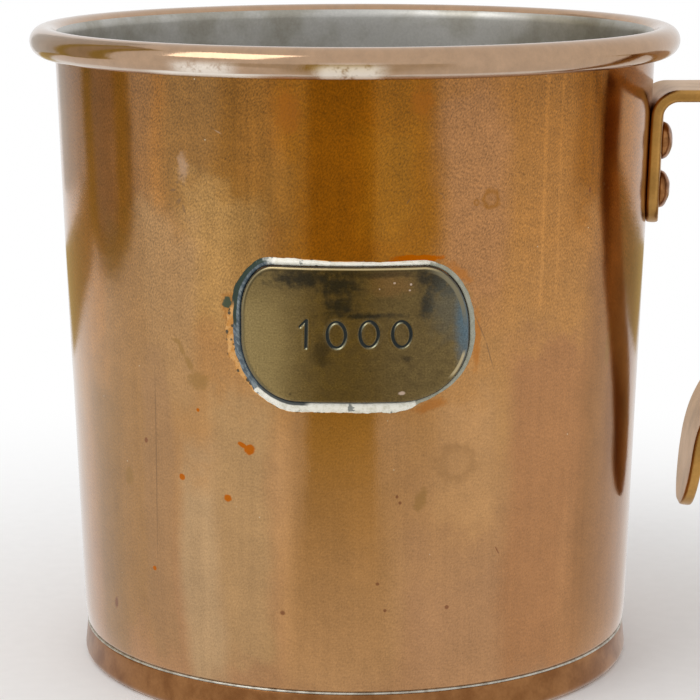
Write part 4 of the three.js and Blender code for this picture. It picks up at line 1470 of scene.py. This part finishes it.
def make_floor():
    bm = bmesh.new()
    bmesh.ops.create_circle(bm, cap_ends=True, radius=FLOOR_RADIUS, segments=96)
    floor = new_object("floor", bm, [floor_paint()])
    floor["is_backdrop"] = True


# Brown boards round the table that only the metal mirrors: direction from the front, distance, width,
# low and high edge, how round the bottom is, and the colour
BOARDS = [
    ("board_left", 103.2, 0.360, 0.205, 0.0100, 0.50, 0.25, (0.46, 0.35, 0.08)),
    ("board_left_front", 104.0, 0.352, 0.092, 0.0235, 0.50, 0.20, (0.53, 0.44, 0.30)),
    ("board_far_left", 135.0, 0.370, 0.210, 0.0370, 0.50, 0.0, (0.64, 0.63, 0.60)),
]


def make_boards():
    for name, direction, distance, width, low, high, roundness, colour in BOARDS:
        paint = Paint(name, 0.0, 0.9)
        felt = paint.noise((12.0, 12.0, 90.0), detail=3.0)
        paint.set("Base Color", paint.shade(colour, felt * 0.4 + 0.8))
        bm = bmesh.new()
        bmesh.ops.create_grid(bm, x_segments=24, y_segments=12, size=0.5)
        angle = math.radians(direction)
        outward = Vector((-math.sin(angle), -math.cos(angle), 0))
        sideways = Vector((-math.cos(angle), math.sin(angle), 0))
        for vert in bm.verts:
            bottom = low + roundness * width * round_drop(2 * vert.co.x) / 2
            up = bottom + (vert.co.y + 0.5) * (high - bottom)
            vert.co = outward * distance + sideways * (vert.co.x * width) + Vector((0, 0, up))
        board = new_object(name, bm, [paint.material])
        board.visible_camera = board.visible_shadow = board.visible_diffuse = False
        board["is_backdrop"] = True


LAMP_PLACE = Vector((-0.9, -0.7, 1.1))
LAMP_SIZE = 0.9
LAMP_POWER = 6.0
CUP_MIDDLE = Vector((0, 0, 0.06))


def make_lamp():
    data = bpy.data.lights.new("soft_lamp_left", "AREA")
    data.shape = "SQUARE"
    data.size = LAMP_SIZE
    data.energy = LAMP_POWER
    lamp = bpy.data.objects.new("soft_lamp_left", data)
    bpy.context.scene.collection.objects.link(lamp)
    lamp.location = LAMP_PLACE
    lamp.rotation_euler = (CUP_MIDDLE - LAMP_PLACE).to_track_quat("-Z", "Y").to_euler()


make_camera()
make_world()
make_floor()
make_boards()
make_lamp()

# Plain metals: two tones, how metallic, how rough, and the size of their clouds in millimetres
copper = wall_copper()
tin = plain_metal("tin_lining", (0.50, 0.49, 0.46), (0.36, 0.34, 0.29), 1.0, 0.42, 12.0)
handle_copper = plain_metal("handle_copper", WARM_COPPER, OLIVE_COPPER, 1.0, 0.34, 8.0)
base_copper = plain_metal("base_copper", (0.33, 0.15, 0.055), (0.22, 0.09, 0.03), 1.0, 0.32, 8.0)
rivet_copper = plain_metal("rivet_copper", (0.38, 0.17, 0.06), (0.22, 0.09, 0.03), 1.0, 0.3, 2.0)
solder = plain_metal("seam_solder", (0.56, 0.53, 0.46), (0.36, 0.32, 0.26), 0.9, 0.45, 2.0)
iron = plain_metal("wire_iron", (0.30, 0.28, 0.26), (0.20, 0.11, 0.06), 0.9, 0.5, 2.0)

make_wall(copper, tin)
make_base(base_copper, tin)
make_crease_solder(solder)
make_inner_solder(solder)
make_plaque(tarnished_brass())
make_plaque_solder(white_solder())
make_handle(handle_copper)
lower_row = TAB_END + RIVET_END_GAP
upper_row = lower_row + RIVET_ROW_RISE
make_rivet("rivet_upper_front", -1, upper_row, rivet_copper, tin)
make_rivet("rivet_upper_back", 1, upper_row, rivet_copper, tin)
make_rivet("rivet_lower_front", -1, lower_row, rivet_copper, tin)
make_rivet("rivet_lower_back", 1, lower_row, rivet_copper, tin)
rim_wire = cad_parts["rim_wire"]
rim_wire.data.materials.clear()
rim_wire.data.materials.append(iron)

bpy.context.scene.view_settings.view_transform = "Standard"
bounds = {"cad": cad_bounds, "visual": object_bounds()}
{name: [list(corner) for corner in box] for name, box in bounds.items()}
